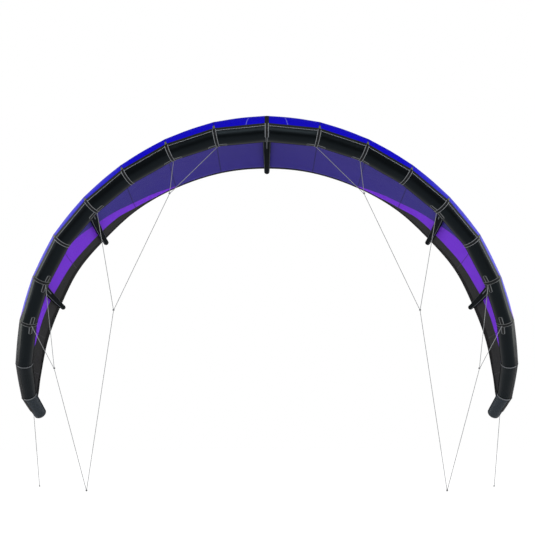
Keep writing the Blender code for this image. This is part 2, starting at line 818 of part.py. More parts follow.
def lines(material, side, label):
    knot, neck = KNOT_SHARE, NECK_SHARE
    turn, low, tab = INNER_BRIDLE_ROUTE[2], MIDDLE_BRIDLE_ROUTE[2], BACK_LINE_ROUTE[0]
    line(f"bridle_inner_{label}", INNER_BRIDLE_ROUTE, {2: knot}, turn, material, side)
    line(f"bridle_middle_{label}", MIDDLE_BRIDLE_ROUTE, {0: knot, 2: knot}, low, material, side)
    line(f"bridle_outer_{label}", OUTER_BRIDLE_ROUTE, {2: knot}, OUTER_BRIDLE_ROUTE[2], material, side)
    line(f"front_line_{label}", FRONT_LINE_ROUTE, {0: knot, 2: knot, 4: knot}, low, material, side)
    line(f"back_line_{label}", BACK_LINE_ROUTE, {0: neck, 2: knot}, tab, material, side)


# Inflation valve: a flanged neck with a plug in its bore and a cap on a hinged strap

def facet_frame(first, second, facet, share, gap):
    """Origin on a tube's facet between two rings, with Z out of it and X along the tube."""
    after = (facet + 1) % len(first)
    start = (first[facet] + first[after]) / 2
    end = (second[facet] + second[after]) / 2
    outward = (second[after] - first[facet]).cross(second[facet] - first[after]).normalized()
    middle = sum(first, Vector()) / len(first)
    if outward.dot(start - middle) < 0:
        outward = -outward
    along = (end - start).normalized()
    across = outward.cross(along)
    origin = start.lerp(end, share) + outward * gap
    return Matrix((
        (*[axis.x for axis in (along, across, outward)], origin.x),
        (*[axis.y for axis in (along, across, outward)], origin.y),
        (*[axis.z for axis in (along, across, outward)], origin.z),
        (0, 0, 0, 1),
    ))


def valve_frame():
    rings = [[mirrored(point) for point in tube_ring(place, TUBE_SIDES)] for place in (1, 0)]
    return facet_frame(*rings, VALVE_FACET, 1 - VALVE_PLACE, SEAT_GAP)


def valve(plastic, seal):
    frame = valve_frame()
    profile = (
        (VALVE_BORE_RADIUS, 0),
        (VALVE_FLANGE_RADIUS, 0),
        (VALVE_FLANGE_RADIUS, VALVE_FLANGE_THICKNESS),
        (VALVE_NECK_RADIUS, VALVE_FLANGE_THICKNESS),
        (VALVE_NECK_RADIUS, VALVE_NECK_HEIGHT),
        (VALVE_BORE_RADIUS, VALVE_NECK_HEIGHT),
    )
    base = add_part("valve_base", turned(profile, VALVE_SIDES, closed=True), plastic, matrix=frame)
    half = HINGE_WIDTH / 2
    inner = HINGE_REACH - HINGE_POST
    outline = ((inner, -half), (HINGE_REACH, -half), (HINGE_REACH, half), (inner, half))
    shape = prism(outline, VALVE_FLANGE_THICKNESS / 2, VALVE_NECK_HEIGHT, "Z")
    post = add_part("valve_post", shape, plastic, matrix=frame)
    post.hide_render = True
    post.display_type = "WIRE"
    joined = base.modifiers.new("post", "BOOLEAN")
    joined.operation = "UNION"
    joined.object = post

    radius = VALVE_BORE_RADIUS - SEAT_GAP
    floor = VALVE_NECK_HEIGHT - PLUG_DEPTH
    profile = (
        (radius - PLUG_CHAMFER, floor),
        (radius, floor + PLUG_CHAMFER),
        (radius, VALVE_NECK_HEIGHT),
    )
    add_part("valve_plug", turned(profile, VALVE_SIDES), seal, matrix=frame)

    turn = math.asin(half / CAP_RADIUS)
    outline = arc((-HINGE_REACH, 0), CAP_RADIUS, turn, math.tau - turn, VALVE_SIDES)
    outline += [(0, -half), (0, half)]
    hinge = Matrix.Translation((HINGE_REACH, 0, VALVE_NECK_HEIGHT + SEAT_GAP))
    add_part("valve_cap", prism(outline, 0, CAP_THICKNESS, "Z"), seal, matrix=frame @ hinge)


# Hoses and pinch clips

def hose_ends(joint, slimming):
    """Frames on the leading edge's back and on the strut's side, where a hose is welded on."""
    rings = tube_ring(joint, TUBE_SIDES), tube_ring(joint + 1, TUBE_SIDES)
    start = facet_frame(*rings, HOSE_TUBE_FACET, place_step(joint, HOSE_OFFSET), SEAT_GAP)
    rings = strut_skin(joint, slimming, 0.0)[0]
    end = facet_frame(rings[1], rings[2], HOSE_STRUT_FACET, HOSE_STRUT_SHARE, SEAT_GAP)
    return start, end


def hose_path(start, end):
    first, last = start.to_translation(), end.to_translation()
    leaving, arriving = start.col[2].to_3d(), end.col[2].to_3d()
    handles = (first, first + leaving * HOSE_REACH, last + arriving * HOSE_REACH, last)
    outward = (leaving + arriving).normalized()

    def at(f):
        a, b, c, d = handles
        rest = 1 - f
        point = a * rest**3 + b * 3 * rest**2 * f + c * 3 * rest * f**2 + d * f**3
        slope = (b - a) * rest**2 + (c - b) * 2 * rest * f + (d - c) * f**2
        along = slope.normalized()
        out = (outward - outward.dot(along) * along).normalized()
        return point, along, out

    return at


def pinch_shares(path):
    """Where along a hose its pinch begins, and where it is flat."""
    points = [path(k / PATH_STEPS)[0] for k in range(PATH_STEPS + 1)]
    length = sum((after - point).length for point, after in zip(points, points[1:]))
    flat = (length - PINCHED_LENGTH) / 2 / length
    return flat - PINCH_EASE / length, flat


def hose(name, path, material, side):
    shape = bmesh.new()
    skins = []
    begin, flat = pinch_shares(path)
    half = [(0.0, 0.0), (begin / 2, 0.0), (begin, 0.0), ((begin + flat) / 2, 0.5), (flat, 1.0)]
    stations = half + [(1 - share, pinch) for share, pinch in half[::-1]]
    for inset in (0.0, HOSE_WALL):
        rings = []
        for share, pinch in stations:
            point, along, out = path(share)
            wide = (HOSE_DIAMETER + (PINCHED_WIDTH - HOSE_DIAMETER) * pinch) / 2 - inset
            thick = (HOSE_DIAMETER + (PINCHED_THICKNESS - HOSE_DIAMETER) * pinch) / 2 - inset
            across = out.cross(along)
            turns = [math.tau * k / HOSE_SIDES for k in range(HOSE_SIDES)]
            rings.append([point + across * wide * math.cos(a) + out * thick * math.sin(a) for a in turns])
        skins.append(skin(shape, rings))
    outer, inner = skins
    bridge(shape, outer[0], inner[0])
    bridge(shape, outer[-1], inner[-1])
    add_part(name, shape, material, side)


def clip_profiles():
    """Outlines across the hose of the base with its bead and of the jaw, from the bead's middle."""
    grip = PINCHED_THICKNESS / 2 + SEAT_GAP
    floor = -grip - BEAD_RISE
    ceiling = grip - BEAD_RISE
    hook_inner = BEAD_RADIUS + SEAT_GAP
    hook_outer = hook_inner + HOOK_WALL
    jaw_end = hook_outer + PINCHED_WIDTH + 2 * SEAT_GAP
    neck = math.asin(BEAD_NECK / 2 / BEAD_RADIUS)
    down = -math.pi / 2
    wall = jaw_end + SEAT_GAP
    base = [
        (-BEAD_NECK / 2, floor),
        *arc((0, 0), BEAD_RADIUS, math.tau + down - neck, down + neck),
        (BEAD_NECK / 2, floor),
        (wall, floor),
        (wall, ceiling + CLIP_WALL),
        (wall + CLIP_WALL, ceiling + CLIP_WALL),
        (wall + CLIP_WALL, floor - CLIP_WALL),
        (-hook_outer, floor - CLIP_WALL),
        (-hook_outer, floor),
    ]
    top = math.asin((ceiling + CLIP_WALL) / hook_outer)
    under = math.asin(ceiling / hook_outer)
    start, end = math.radians(HOOK_START_DEG), math.radians(HOOK_END_DEG)
    jaw = [
        *arc((0, 0), hook_outer, end, top),
        (jaw_end, ceiling + CLIP_WALL),
        (jaw_end, ceiling),
        *arc((0, 0), hook_outer, under, start),
        *arc((0, 0), hook_inner, start, end),
    ]
    return base, jaw


def clip_frame(path):
    """Frame at the bead's middle: X across the hose toward the jaw's free end, Z out of the corner."""
    flat = pinch_shares(path)[1]
    first, last = path(flat)[0], path(1 - flat)[0]
    point = (first + last) / 2
    along = (last - first).normalized()
    out = path(0.5)[2]
    out = (out - out.dot(along) * along).normalized()
    across = along.cross(out)
    reach = BEAD_RADIUS + SEAT_GAP + HOOK_WALL + SEAT_GAP + PINCHED_WIDTH / 2
    origin = point - across * reach + out * BEAD_RISE
    return Matrix((
        (across.x, along.x, out.x, origin.x),
        (across.y, along.y, out.y, origin.y),
        (across.z, along.z, out.z, origin.z),
        (0, 0, 0, 1),
    ))


def clip_meshes(material):
    """The base's and the jaw's mesh, which every clip shares."""
    meshes = []
    for name, outline in zip(("clip_base", "clip_jaw"), clip_profiles()):
        made = add_part(name, prism(outline, -CLIP_LENGTH / 2, CLIP_LENGTH / 2, "Y"), material)
        meshes.append(made.data)
        bpy.data.objects.remove(made)
    return meshes


def place_struts(cloth, film, rubber, clips):
    """Struts, their bladders, and the hose and clip beside each of them."""
    for strut, joint, slimming in zip(STRUT_NAMES, STRUT_JOINTS, STRUT_SLIMMING_SHARES):
        path = hose_path(*hose_ends(joint, slimming))
        for side, label in SIDES:
            if joint == 0 and side < 0:
                continue
            name = f"{strut}_{label}" if joint else strut
            strut_sleeve(f"strut_{name}", joint, slimming, cloth, side)
            strut_bladder(f"strut_bladder_{name}", joint, slimming, film, side)
            hose(f"hose_{name}", path, rubber, side)
            flip = Matrix.Diagonal((side, 1, 1, 1)) @ clip_frame(path) @ Matrix.Diagonal((1, side, 1, 1))
            add_copy(f"clip_base_{name}", clips[0], flip)
            add_copy(f"clip_jaw_{name}", clips[1], flip)


def clear_scene():
    for old in list(bpy.data.objects):
        bpy.data.objects.remove(old, do_unlink=True)


def build():
    clear_scene()
    sleeve_cloth = finish("black sleeve cloth", SLEEVE_CLOTH)
    indigo = finish("indigo canopy cloth", INDIGO_CLOTH)
    purple = finish("purple canopy cloth", PURPLE_CLOTH)
    charcoal = finish("charcoal canopy cloth", CHARCOAL_CLOTH)
    webbing = finish("hem webbing", HEM_WEBBING)
    film = finish("bladder film", BLADDER_FILM)
    cord = finish("braided line", BRAIDED_LINE)
    plastic = finish("hard grey plastic", HARD_PLASTIC)
    seal = finish("soft grey plastic", SOFT_PLASTIC)
    rubber = finish("hose rubber", HOSE_RUBBER)

    for side, label in SIDES:
        leading_edge_bay(f"leading_edge_inner_{label}", 0, INNER_BAY_END, sleeve_cloth, side)
        leading_edge_bay(f"leading_edge_middle_{label}", INNER_BAY_END, MIDDLE_BAY_END, sleeve_cloth, side)
        leading_edge_bay(f"leading_edge_tip_{label}", MIDDLE_BAY_END, JOINTS, sleeve_cloth, side)
        canopy((indigo, purple, charcoal), side, label)
        lines(cord, side, label)
    leading_edge_bladder(film)
    trailing_edge_hem(webbing)
    valve(plastic, seal)
    place_struts(sleeve_cloth, film, rubber, clip_meshes(plastic))


build()
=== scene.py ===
"""Looks of the inflatable kitesurfing kite, in metres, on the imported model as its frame."""

from functools import cache
from math import copysign, cos, exp, pi, radians, sin, sqrt, tau

import bpy
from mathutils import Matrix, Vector


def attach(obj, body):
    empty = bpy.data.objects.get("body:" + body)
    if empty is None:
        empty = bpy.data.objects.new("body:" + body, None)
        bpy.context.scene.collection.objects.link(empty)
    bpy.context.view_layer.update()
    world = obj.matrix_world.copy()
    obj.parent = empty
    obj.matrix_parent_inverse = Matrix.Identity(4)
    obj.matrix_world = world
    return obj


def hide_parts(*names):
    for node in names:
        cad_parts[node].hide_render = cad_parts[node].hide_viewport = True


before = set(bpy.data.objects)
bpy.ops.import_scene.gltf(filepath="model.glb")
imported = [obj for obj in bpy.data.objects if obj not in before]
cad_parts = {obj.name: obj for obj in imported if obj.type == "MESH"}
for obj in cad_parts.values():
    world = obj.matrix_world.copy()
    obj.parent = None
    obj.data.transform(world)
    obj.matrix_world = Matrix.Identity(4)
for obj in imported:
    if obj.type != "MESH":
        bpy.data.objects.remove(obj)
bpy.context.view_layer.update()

# Camera. The photograph was taken level and from far in front, with the kite's arch up, so a long
# lens stands 13 m before the leading edge, a little above the height of the outer struts.
LENS_MM = 105.4
CAMERA_PLACE = (0.0058, -13.0, -1.124)
lens = bpy.data.cameras.new("camera")
lens.lens = LENS_MM
lens.sensor_width = 36
lens.clip_end = 200
camera = bpy.data.objects.new("camera", lens)
bpy.context.collection.objects.link(camera)
camera.location = CAMERA_PLACE
camera.rotation_euler = (radians(90), 0, 0)
bpy.context.scene.camera = camera
bpy.context.scene.view_settings.view_transform = "Standard"


# Back lines. Each hangs from the tab at a wing tip: a short braided pigtail of coated line, sewn
# into the tab with a thin neck, and ending in the knot that takes the steering line's loop.
SIDES = ((1, "right"), (-1, "left"))
LINE_DIAMETER = 0.005
BACK_ROUTE = ((2.1476, 1.4112, -2.4377), (2.1430, 1.4112, -2.4900), (2.0914, 1.4112, -3.1376))
BACK_ROUTE_STEPS = 14
NECK_GIRTHS = {0: 0.4, 1: 0.8}
BACK_KNOT_RADIUS = 0.0075
BACK_KNOT_INSET = 0.004
KNOT_LOOP_SHARE = 0.62
KNOT_CORD_SHARE = 0.42
KNOT_TILT = 0.35


def fresh_material(name, **settings):
    """A Principled material with its constants set on the shader's own sockets."""
    material = bpy.data.materials.new(name)
    material.use_nodes = True
    shader = material.node_tree.nodes["Principled BSDF"]
    for socket, value in settings.items():
        shader.inputs[socket.replace("_", " ")].default_value = value
    return material, material.node_tree, shader


def add(tree, kind, *values, **settings):
    """One shader node, its inputs filled in order by numbers or by other nodes' outputs."""
    made = tree.nodes.new("ShaderNode" + kind)
    for setting, value in settings.items():
        setattr(made, setting, value)
    for socket, value in zip(made.inputs, values):
        if isinstance(value, bpy.types.NodeSocket):
            tree.links.new(value, socket)
        elif value is not None:
            socket.default_value = value
    return made.outputs[0]


def worked(kind, *values, **settings):
    """A node in the tree of the first output among its values."""
    tree = next(value.id_data for value in values if isinstance(value, bpy.types.NodeSocket))
    return add(tree, kind, *values, **settings)


def maths(operation, *values, clamp=False):
    return worked("Math", *values, operation=operation, use_clamp=clamp)


def times(value, factor):
    return maths("MULTIPLY", value, factor)


def scaled(value, factor, start, clamp=False):
    """A value times a factor, from a start."""
    return maths("MULTIPLY_ADD", value, factor, start, clamp=clamp)


def beyond(value, spot):
    """1 where a value is greater than a spot."""
    return maths("GREATER_THAN", value, spot)


def mixed(share, *tones):
    """Two tones mixed, each an output or a plain red, green and blue."""
    return worked("MixRGB", share, *[(*tone, 1) if isinstance(tone, tuple) else tone for tone in tones])


def noise(coordinates, scale, detail=2.0):
    return worked("TexNoise", coordinates, None, scale, detail)


def object_place(tree):
    """Places in the piece's own metres."""
    return tree.nodes.new("ShaderNodeTexCoord").outputs["Object"]


def surfaced(tree, shader, tone, height, relief):
    """The shader's colour, and a height that stands out of the surface by a real relief."""
    tree.links.new(tone, shader.inputs["Base Color"])
    bump = tree.nodes.new("ShaderNodeBump")
    bump.inputs["Distance"].default_value = relief
    tree.links.new(height, bump.inputs["Height"])
    tree.links.new(bump.outputs["Normal"], shader.inputs["Normal"])


def line_material():
    material, tree, shader = fresh_material("coated braid", Roughness=0.6, Specular_IOR_Level=0.3)
    place = object_place(tree)
    weave = noise(place, scale=900.0)
    dirt = noise(place, scale=9.0)
    shade = scaled(weave, 0.5, times(dirt, 0.5))
    tone = mixed(shade, (0.145, 0.147, 0.15), (0.28, 0.285, 0.295))
    surfaced(tree, shader, tone, weave, relief=0.0004)
    return material


BRAID = line_material()


def smooth_at(stations, values, place):
    """A smooth curve through values that stand at rising stations."""
    last = len(stations) - 2
    i = 0
    while i < last and place > stations[i + 1]:
        i += 1

    def slope(k):
        low, high = max(k - 1, 0), min(k + 1, len(stations) - 1)
        return (values[high] - values[low]) / (stations[high] - stations[low])

    width = stations[i + 1] - stations[i]
    f = (place - stations[i]) / width
    return (
        values[i] * (2 * f**3 - 3 * f**2 + 1)
        + slope(i) * width * (f**3 - 2 * f**2 + f)
        + values[i + 1] * (3 * f**2 - 2 * f**3)
        + slope(i + 1) * width * (f**3 - f**2)
    )


def on_side(point, side):
    """A point of the right half, or its mirror where side is below 0."""
    return Vector((-point[0] if side < 0 else point[0], point[1], point[2]))


def through(route, steps, side):
    """Points on a smooth curve through a route's own points, spaced by its lengths."""
    points = [on_side(point, side) for point in route]
    stations = [0.0]
    for point, after in zip(points, points[1:]):
        stations.append(stations[-1] + (after - point).length)
    made = []
    for start, end in zip(stations, stations[1:]):
        for step in range(steps):
            made.append(smooth_at(stations, points, start + (end - start) * step / steps))
    return [*made, points[-1]]


def dressed(piece, finish, slot, *nodes, body="kite"):
    """The piece's finish, the body that it moves with, and the solids that it stands for."""
    piece.data.materials.clear()
    piece.data.materials.append(finish)
    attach(piece, body)
    if nodes:
        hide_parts(*nodes)


def braided(name, points, node, body, girths):
    """A round line along points, thinner at the points that girths names."""
    curve = bpy.data.curves.new(name, "CURVE")
    curve.dimensions = "3D"
    curve.bevel_depth = LINE_DIAMETER / 2
    curve.bevel_resolution = 3
    curve.use_fill_caps = True
    spline = curve.splines.new("POLY")
    spline.points.add(len(points) - 1)
    for k, point in enumerate(points):
        spline.points[k].co = (*point, 1)
        spline.points[k].radius = girths.get(k, 1.0)
    piece = bpy.data.objects.new(name, curve)
    bpy.context.collection.objects.link(piece)
    dressed(piece, BRAID, "line", node, body=body)
    return piece


def knot(name, spot, along, radius, body):
    """An overhand knot: two crossed turns of the line, pulled tight round it."""
    along = along.normalized()
    turns = []
    for tilt in (KNOT_TILT, -KNOT_TILT):
        bpy.ops.mesh.primitive_torus_add(
            major_segments=20, minor_segments=10,
            major_radius=radius * KNOT_LOOP_SHARE, minor_radius=radius * KNOT_CORD_SHARE,
            location=spot + along * radius * tilt, rotation=along.to_track_quat("Z", "Y").to_euler(),
        )
        turns.append(bpy.context.object)
        turns[-1].rotation_euler.rotate_axis("X", tilt)
    turns[0].select_set(True)
    bpy.ops.object.join()
    piece = bpy.context.object
    bpy.ops.object.transform_apply(location=True, rotation=True, scale=True)
    bpy.ops.object.shade_smooth()
    piece.name = piece.data.name = name
    dressed(piece, BRAID, "line", body=body)
    return piece


for side, label in SIDES:
    body = f"back_line_{label}"
    points = through(BACK_ROUTE, BACK_ROUTE_STEPS, side)
    pigtail = braided(f"pigtail_{label}", points, body, body, NECK_GIRTHS)
    along = (points[-1] - points[-2]).normalized()
    spot = points[-1] - along * BACK_KNOT_INSET
    stop = knot(f"pigtail_knot_{label}", spot, along, BACK_KNOT_RADIUS, body)


# Leading edge sleeve. The real one is heavy woven polyester cut in ten straight panels a side,
# sewn into a crescent tube and held round by the bladder's air, with closed rounded tips.
HALF_LEADING_EDGE = 3.889
PANEL_SHARES = (0.109, 0.1045, 0.1065, 0.1035, 0.103, 0.1055, 0.103, 0.1105, 0.0994, 0.058)
PANEL_DIPS = (5.3, 17.4, 28.8, 38.4, 48.3, 60.4, 70.1, 79.5, 90.8, 114.8)
PANEL_SWEEPS = (2.0, 6.0, 9.0, 11.0, 12.5, 16.0, 20.5, 28.5, 38.4, 34.4)
TUBE_RADIUS = 0.0825
TUBE_SHARES = (1.0, 0.985, 0.97, 0.955, 0.94, 0.92, 0.905, 0.89, 0.87, 0.8, 0.7)
TIP_DOME = 0.034
TIP_ROUNDNESS = 0.75
TIP_RINGS = 8
PANELS = len(PANEL_SHARES)
MEAN_PANEL = 0.389
TUBE_GIRTH = 0.5
TUBE_SLICES = 96
SEAM_PINCH = 0.0016
PINCH_REACH = 0.012
RING_SHARES = (0.0, 0.012, 0.03, 0.07, 0.15, 0.3, 0.5, 0.7, 0.85, 0.93, 0.97, 0.988)
PUCKER_REACH = 0.22
MERGE_DISTANCE = 0.00002


def panel_direction(dip, sweep):
    dip, sweep = radians(dip), radians(sweep)
    level = cos(sweep)
    return Vector((cos(dip) * level, sin(sweep), -sin(dip) * level))


DIRECTIONS = [panel_direction(dip, sweep) for dip, sweep in zip(PANEL_DIPS, PANEL_SWEEPS)]
CENTRES = [Vector((0, 0, 0))]
for share, direction in zip(PANEL_SHARES, DIRECTIONS):
    CENTRES.append(CENTRES[-1] + direction * HALF_LEADING_EDGE * share)


def joint_frame(i):
    """Outward and forward at a sewn joint, with the bend that its mitre cuts across."""
    after = DIRECTIONS[min(i, PANELS - 1)]
    before = DIRECTIONS[i - 1] if i else Vector((after.x, -after.y, -after.z))
    along = (before + after).normalized()
    forward = Vector((0, -1, 0))
    forward = (forward - forward.dot(along) * along).normalized()
    bend = after - before
    if bend.length > 0:
        bend.normalize()
    return forward.cross(along), forward, bend, 1 / along.dot(after) - 1


FRAMES = [joint_frame(i) for i in range(PANELS + 1)]


def ring_point(i, angle, clearance):
    outward, forward, bend, stretch = FRAMES[i]
    radius = TUBE_RADIUS * TUBE_SHARES[i] + clearance
    arm = (outward * cos(angle) + forward * sin(angle)) * radius
    return CENTRES[i] + arm + bend * arm.dot(bend) * stretch


def half_tube_point(place, angle, clearance):
    i = min(int(place), PANELS - 1)
    return ring_point(i, angle, clearance).lerp(ring_point(i + 1, angle, clearance), place - i)


def tube_point(place, angle, clearance):
    """A point on the tube at a place counted in panels, negative on the left half."""
    return on_side(half_tube_point(min(abs(place), PANELS), angle, clearance), place)


def panel_length(place):
    return HALF_LEADING_EDGE * PANEL_SHARES[min(int(abs(place)), PANELS - 1)]


def shares(count):
    """Even steps from 0 to 1."""
    return [k / count for k in range(count + 1)]


def both_ways(half):
    """Places from the left tip to the right one, from those of the right half."""
    return [-place for place in half[:0:-1]] + half


def sized(length, breadth):
    """Real lengths for a piece whose directions are counted in panels, shares or turns."""
    return lambda u, v: (u * length, v * breadth)


def lofted(name, us, vs, point_of, size_of):
    """A grid laid on a surface, with its two directions as one UV map and its lengths as another."""
    bpy.ops.mesh.primitive_grid_add(
        x_subdivisions=len(us) - 1, y_subdivisions=len(vs) - 1, size=1, calc_uvs=False,
    )
    piece = bpy.context.object
    mesh = piece.data
    piece.name = mesh.name = name
    spots = []
    for vertex in mesh.vertices:
        u = us[round((vertex.co.x + 0.5) * (len(us) - 1))]
        v = vs[round((vertex.co.y + 0.5) * (len(vs) - 1))]
        spots.append((u, v))
        vertex.co = point_of(u, v)
    first, last = min(us), max(us)
    maps = {
        "surface": [((u - first) / (last - first), v) for u, v in spots],
        "size": [size_of(u, v) for u, v in spots],
    }
    for layer_name, values in maps.items():
        layer = mesh.uv_layers.new(name=layer_name)
        for loop in mesh.loops:
            layer.uv[loop.index].vector = values[loop.vertex_index]
    mesh.polygons.foreach_set("use_smooth", [True] * len(mesh.polygons))
    return piece


def edited(piece, *steps):
    """Mesh operators run in turn on the whole of one piece, which stays the active one."""
    bpy.ops.object.select_all(action="DESELECT")
    piece.select_set(True)
    bpy.context.view_layer.objects.active = piece
    bpy.ops.object.mode_set(mode="EDIT")
    bpy.ops.mesh.select_all(action="SELECT")
    for step in steps:
        step()
    bpy.ops.object.mode_set(mode="OBJECT")


def merge():
    bpy.ops.mesh.remove_doubles(threshold=MERGE_DISTANCE)


def turn_out():
    bpy.ops.mesh.normals_make_consistent(inside=False)


def uv_map(tree, layer):
    return add(tree, "UVMap", uv_map=layer)


def uv_parts(tree, layer):
    """The two directions of a UV map."""
    parts = tree.nodes.new("ShaderNodeSeparateXYZ")
    tree.links.new(uv_map(tree, layer), parts.inputs[0])
    return parts.outputs["X"], parts.outputs["Y"]


def drawn_noise(coordinates, scales, detail):
    """Noise with a scale of its own along each direction of a UV map."""
    return noise(worked("Mapping", coordinates, None, None, (*scales, 1.0)), 1.0, detail)


def apart(value, spot):
    """How far a value lies from a spot."""
    return maths("ABSOLUTE", maths("SUBTRACT", value, spot))


def joint_nearness(place, width):
    """1 at a sewn joint and 0 past width of it, both counted in panels."""
    part = maths("FRACT", maths("ADD", place, 2 * PANELS + 0.5))
    away = maths("DIVIDE", apart(part, 0.5), width, clamp=True)
    return maths("SUBTRACT", 1.0, away)


def sleeve_material():
    """Black coated polyester: fine weave, puckers beside the joints, the last panel paler as painted
    highlight.
    """
    material, tree, shader = fresh_material(
        "black sleeve cloth", Roughness=0.4, Specular_Tint=(0.68, 0.87, 1.0, 1),
    )
    # The gloss fades where the cloth turns away, since its fibres scatter there
    facing = tree.nodes.new("ShaderNodeLayerWeight").outputs["Facing"]
    fade = scaled(facing, -3.3, 2.6, clamp=True)
    tree.links.new(times(fade, 0.14), shader.inputs["Specular IOR Level"])
    size = uv_map(tree, "size")
    place = scaled(uv_parts(tree, "surface")[0], 2 * (PANELS + 1), -(PANELS + 1))
    worn = noise(size, scale=3.0, detail=4.0)
    tone = mixed(worn, (0.0007, 0.0011, 0.0015), (0.0016, 0.0022, 0.0028))
    # Painted highlight: the last panel toward each tip is painted a paler black for the light that the
    # tip catches.
    last = beyond(maths("ABSOLUTE", place), PANELS - 1)
    tone = mixed(last, tone, (0.019, 0.0225, 0.027))
    pucker = drawn_noise(size, scales=(6.0, 55.0), detail=3.0)
    pucker = times(pucker, joint_nearness(place, PUCKER_REACH))
    broad = drawn_noise(size, scales=(2.2, 9.0), detail=2.0)
    height = scaled(broad, 0.9, pucker)
    height = scaled(noise(size, scale=1400.0), 0.012, height)
    surfaced(tree, shader, tone, height, relief=0.005)
    return material


def sleeve_point(place, turn):
    """The inflated skin, drawn in a little at each joint, and domed past the last ring."""
    angle = turn * tau
    past = max(abs(place) - PANELS, 0)
    if past:
        roll = past * pi / 2
        inward = TUBE_RADIUS * TUBE_SHARES[-1] * (cos(roll) ** TIP_ROUNDNESS - 1)
        point = half_tube_point(PANELS, angle, inward) + DIRECTIONS[-1] * TIP_DOME * sin(roll)
        return on_side(point, place)
    off = abs(abs(place) - round(abs(place))) * panel_length(place)
    return tube_point(place, angle, -SEAM_PINCH * exp(-((off / PINCH_REACH) ** 2)))


panel_places = [i + share for i in range(PANELS) for share in RING_SHARES]
sleeve = lofted(
    "leading_edge_sleeve", both_ways(panel_places + [PANELS + share for share in shares(TIP_RINGS)]),
    shares(TUBE_SLICES), sleeve_point, sized(MEAN_PANEL, TUBE_GIRTH),
)
edited(sleeve, merge, turn_out)
bays = [f"leading_edge_{bay}_{label}" for bay in ("inner", "middle", "tip") for side, label in SIDES]
dressed(sleeve, sleeve_material(), "sleeve_cloth", *bays)


# Canopy. One skin of ripstop cloth, sewn from indigo, purple and charcoal panels, runs from its
# seam on the front of the leading edge over the tube and back to the hem, and billows a little
# between the struts. Its underside carries painted shade, as darker and greyer copies of the
# upper side's colours.
CENTRE_CHORD = 1.632
RIB_STATIONS = (*range(PANELS), 9.7)
CHORD_SHARES = (1.0, 0.988, 0.961, 0.921, 0.871, 0.803, 0.73, 0.632, 0.486, 0.3055, 0.217)
CHORD_DROPS = (7.1, 7.3, 8.15, 8.95, 10.95, 11.4, 11.9, 11.6, 11.6, 6.6, 3.8)
CHORD_TOES = (0.0, 0.1, 1.35, 1.75, 1.7, 0.7, -0.7, -1.5, -2.5, -0.7, 13.1)
FULLNESS_SHARES = (0.95, 0.87, 0.78, 0.74, 0.68, 0.6, 0.52, 0.53, 0.61, 0.62, 0.62)
SEAM_ANGLE = radians(33)
TAIL_ANGLE = radians(23)
LEAD_REACH_SHARE = 0.24
TAIL_REACH_SHARE = 0.42
SEAM_CLEARANCE = 0.0021
SLOPE_STEP = 0.01
LAST_RIB = RIB_STATIONS[-1]
CLOTH = 0.0012
CLOTH_STEPS = 12
CLOTH_ROWS = 64
CLOTH_BUNCHING = 1.35
CLOTH_END = 0.9958
BILLOW = 0.009
BILLOW_END = 0.99
BILLOW_POWERS = (1.3, 0.6)
PURPLE_FRONT = (
    (0, 1.0), (1.8, 1.0), (1.9, 0.99), (2.5, 0.95), (3.0, 0.912), (3.5, 0.85), (4.0, 0.786),
    (4.5, 0.726), (5.0, 0.67), (5.5, 0.58), (6.0, 0.45), (6.5, 0.26), (7.0, 0.0), (10, 0.0),
)
CHARCOAL_FRONT = (
    (0, 1.0), (2.2, 1.0), (2.4, 0.992), (3.0, 0.967), (3.5, 0.925), (4.0, 0.908), (4.5, 0.901),
    (5.0, 0.88), (5.5, 0.858), (6.0, 0.822), (6.5, 0.806), (7.0, 0.799), (7.5, 0.766), (8.0, 0.68),
    (8.5, 0.45), (9.0, 0.0), (10, 0.0),
)
BLACK_FRONT = (
    (0, 0.986), (4.0, 0.978), (5.0, 0.962), (6.0, 0.95), (7.0, 0.942), (7.4, 0.948), (7.9, 0.964),
    (8.2, 0.952), (8.6, 0.94), (9.0, 0.86), (10, 0.7),
)
COLOUR_SEAM = 0.0022
RIB_SEAM = 0.011
SHEEN_START, SHEEN_RISE, SHEEN = 0.28, 0.3, 0.32
TIP_START, TIP_SLANT = 0.672, 0.3
DART_PLACE, DART_SLANT = 0.0395, 0.035
DART_HALF, DART_END = 0.0007, 0.16
CRUMPLE_END = 0.35
RIPSTOP_PER_METRE = 170.0


def chord_vector(k):
    drop, toe = radians(CHORD_DROPS[k]), radians(CHORD_TOES[k])
    level = cos(drop)
    direction = Vector((level * sin(toe), level * cos(toe), -sin(drop)))
    return direction * CENTRE_CHORD * CHORD_SHARES[k]


def centre_at(place):
    i = min(int(place), PANELS - 1)
    return CENTRES[i].lerp(CENTRES[i + 1], place - i)


RIB_ENDS = [centre_at(place) + chord_vector(k) for k, place in enumerate(RIB_STATIONS)]
TRAILING_STATIONS = [-RIB_STATIONS[1], *RIB_STATIONS]
TRAILING = [on_side(RIB_ENDS[1], -1), *RIB_ENDS]


def chord_line(place):
    """From the tube's middle line to the trailing edge."""
    return smooth_at(TRAILING_STATIONS, TRAILING, abs(place)) - centre_at(abs(place))


def chord_at(place):
    return chord_line(place).length


@cache
def section_handles(place):
    """The cloth's curve from the seam to the trailing edge, as four handles."""
    i = min(int(place), PANELS - 1)
    outward = FRAMES[i][0].lerp(FRAMES[i + 1][0], place - i).normalized()
    tail = smooth_at(TRAILING_STATIONS, TRAILING, place)
    chord = chord_line(place)
    length = chord.length
    chord.normalize()
    lift = (outward - outward.dot(chord) * chord).normalized()
    full = smooth_at(RIB_STATIONS, FULLNESS_SHARES, place)
    seam = half_tube_point(place, SEAM_ANGLE, SEAM_CLEARANCE)
    leaving = (half_tube_point(place, SEAM_ANGLE - SLOPE_STEP, SEAM_CLEARANCE) - seam).normalized()
    fall = TAIL_ANGLE * full
    arriving = chord * cos(fall) - lift * sin(fall)
    lead_handle = seam + leaving * LEAD_REACH_SHARE * full * length
    return seam, lead_handle, tail - arriving * TAIL_REACH_SHARE * length, tail


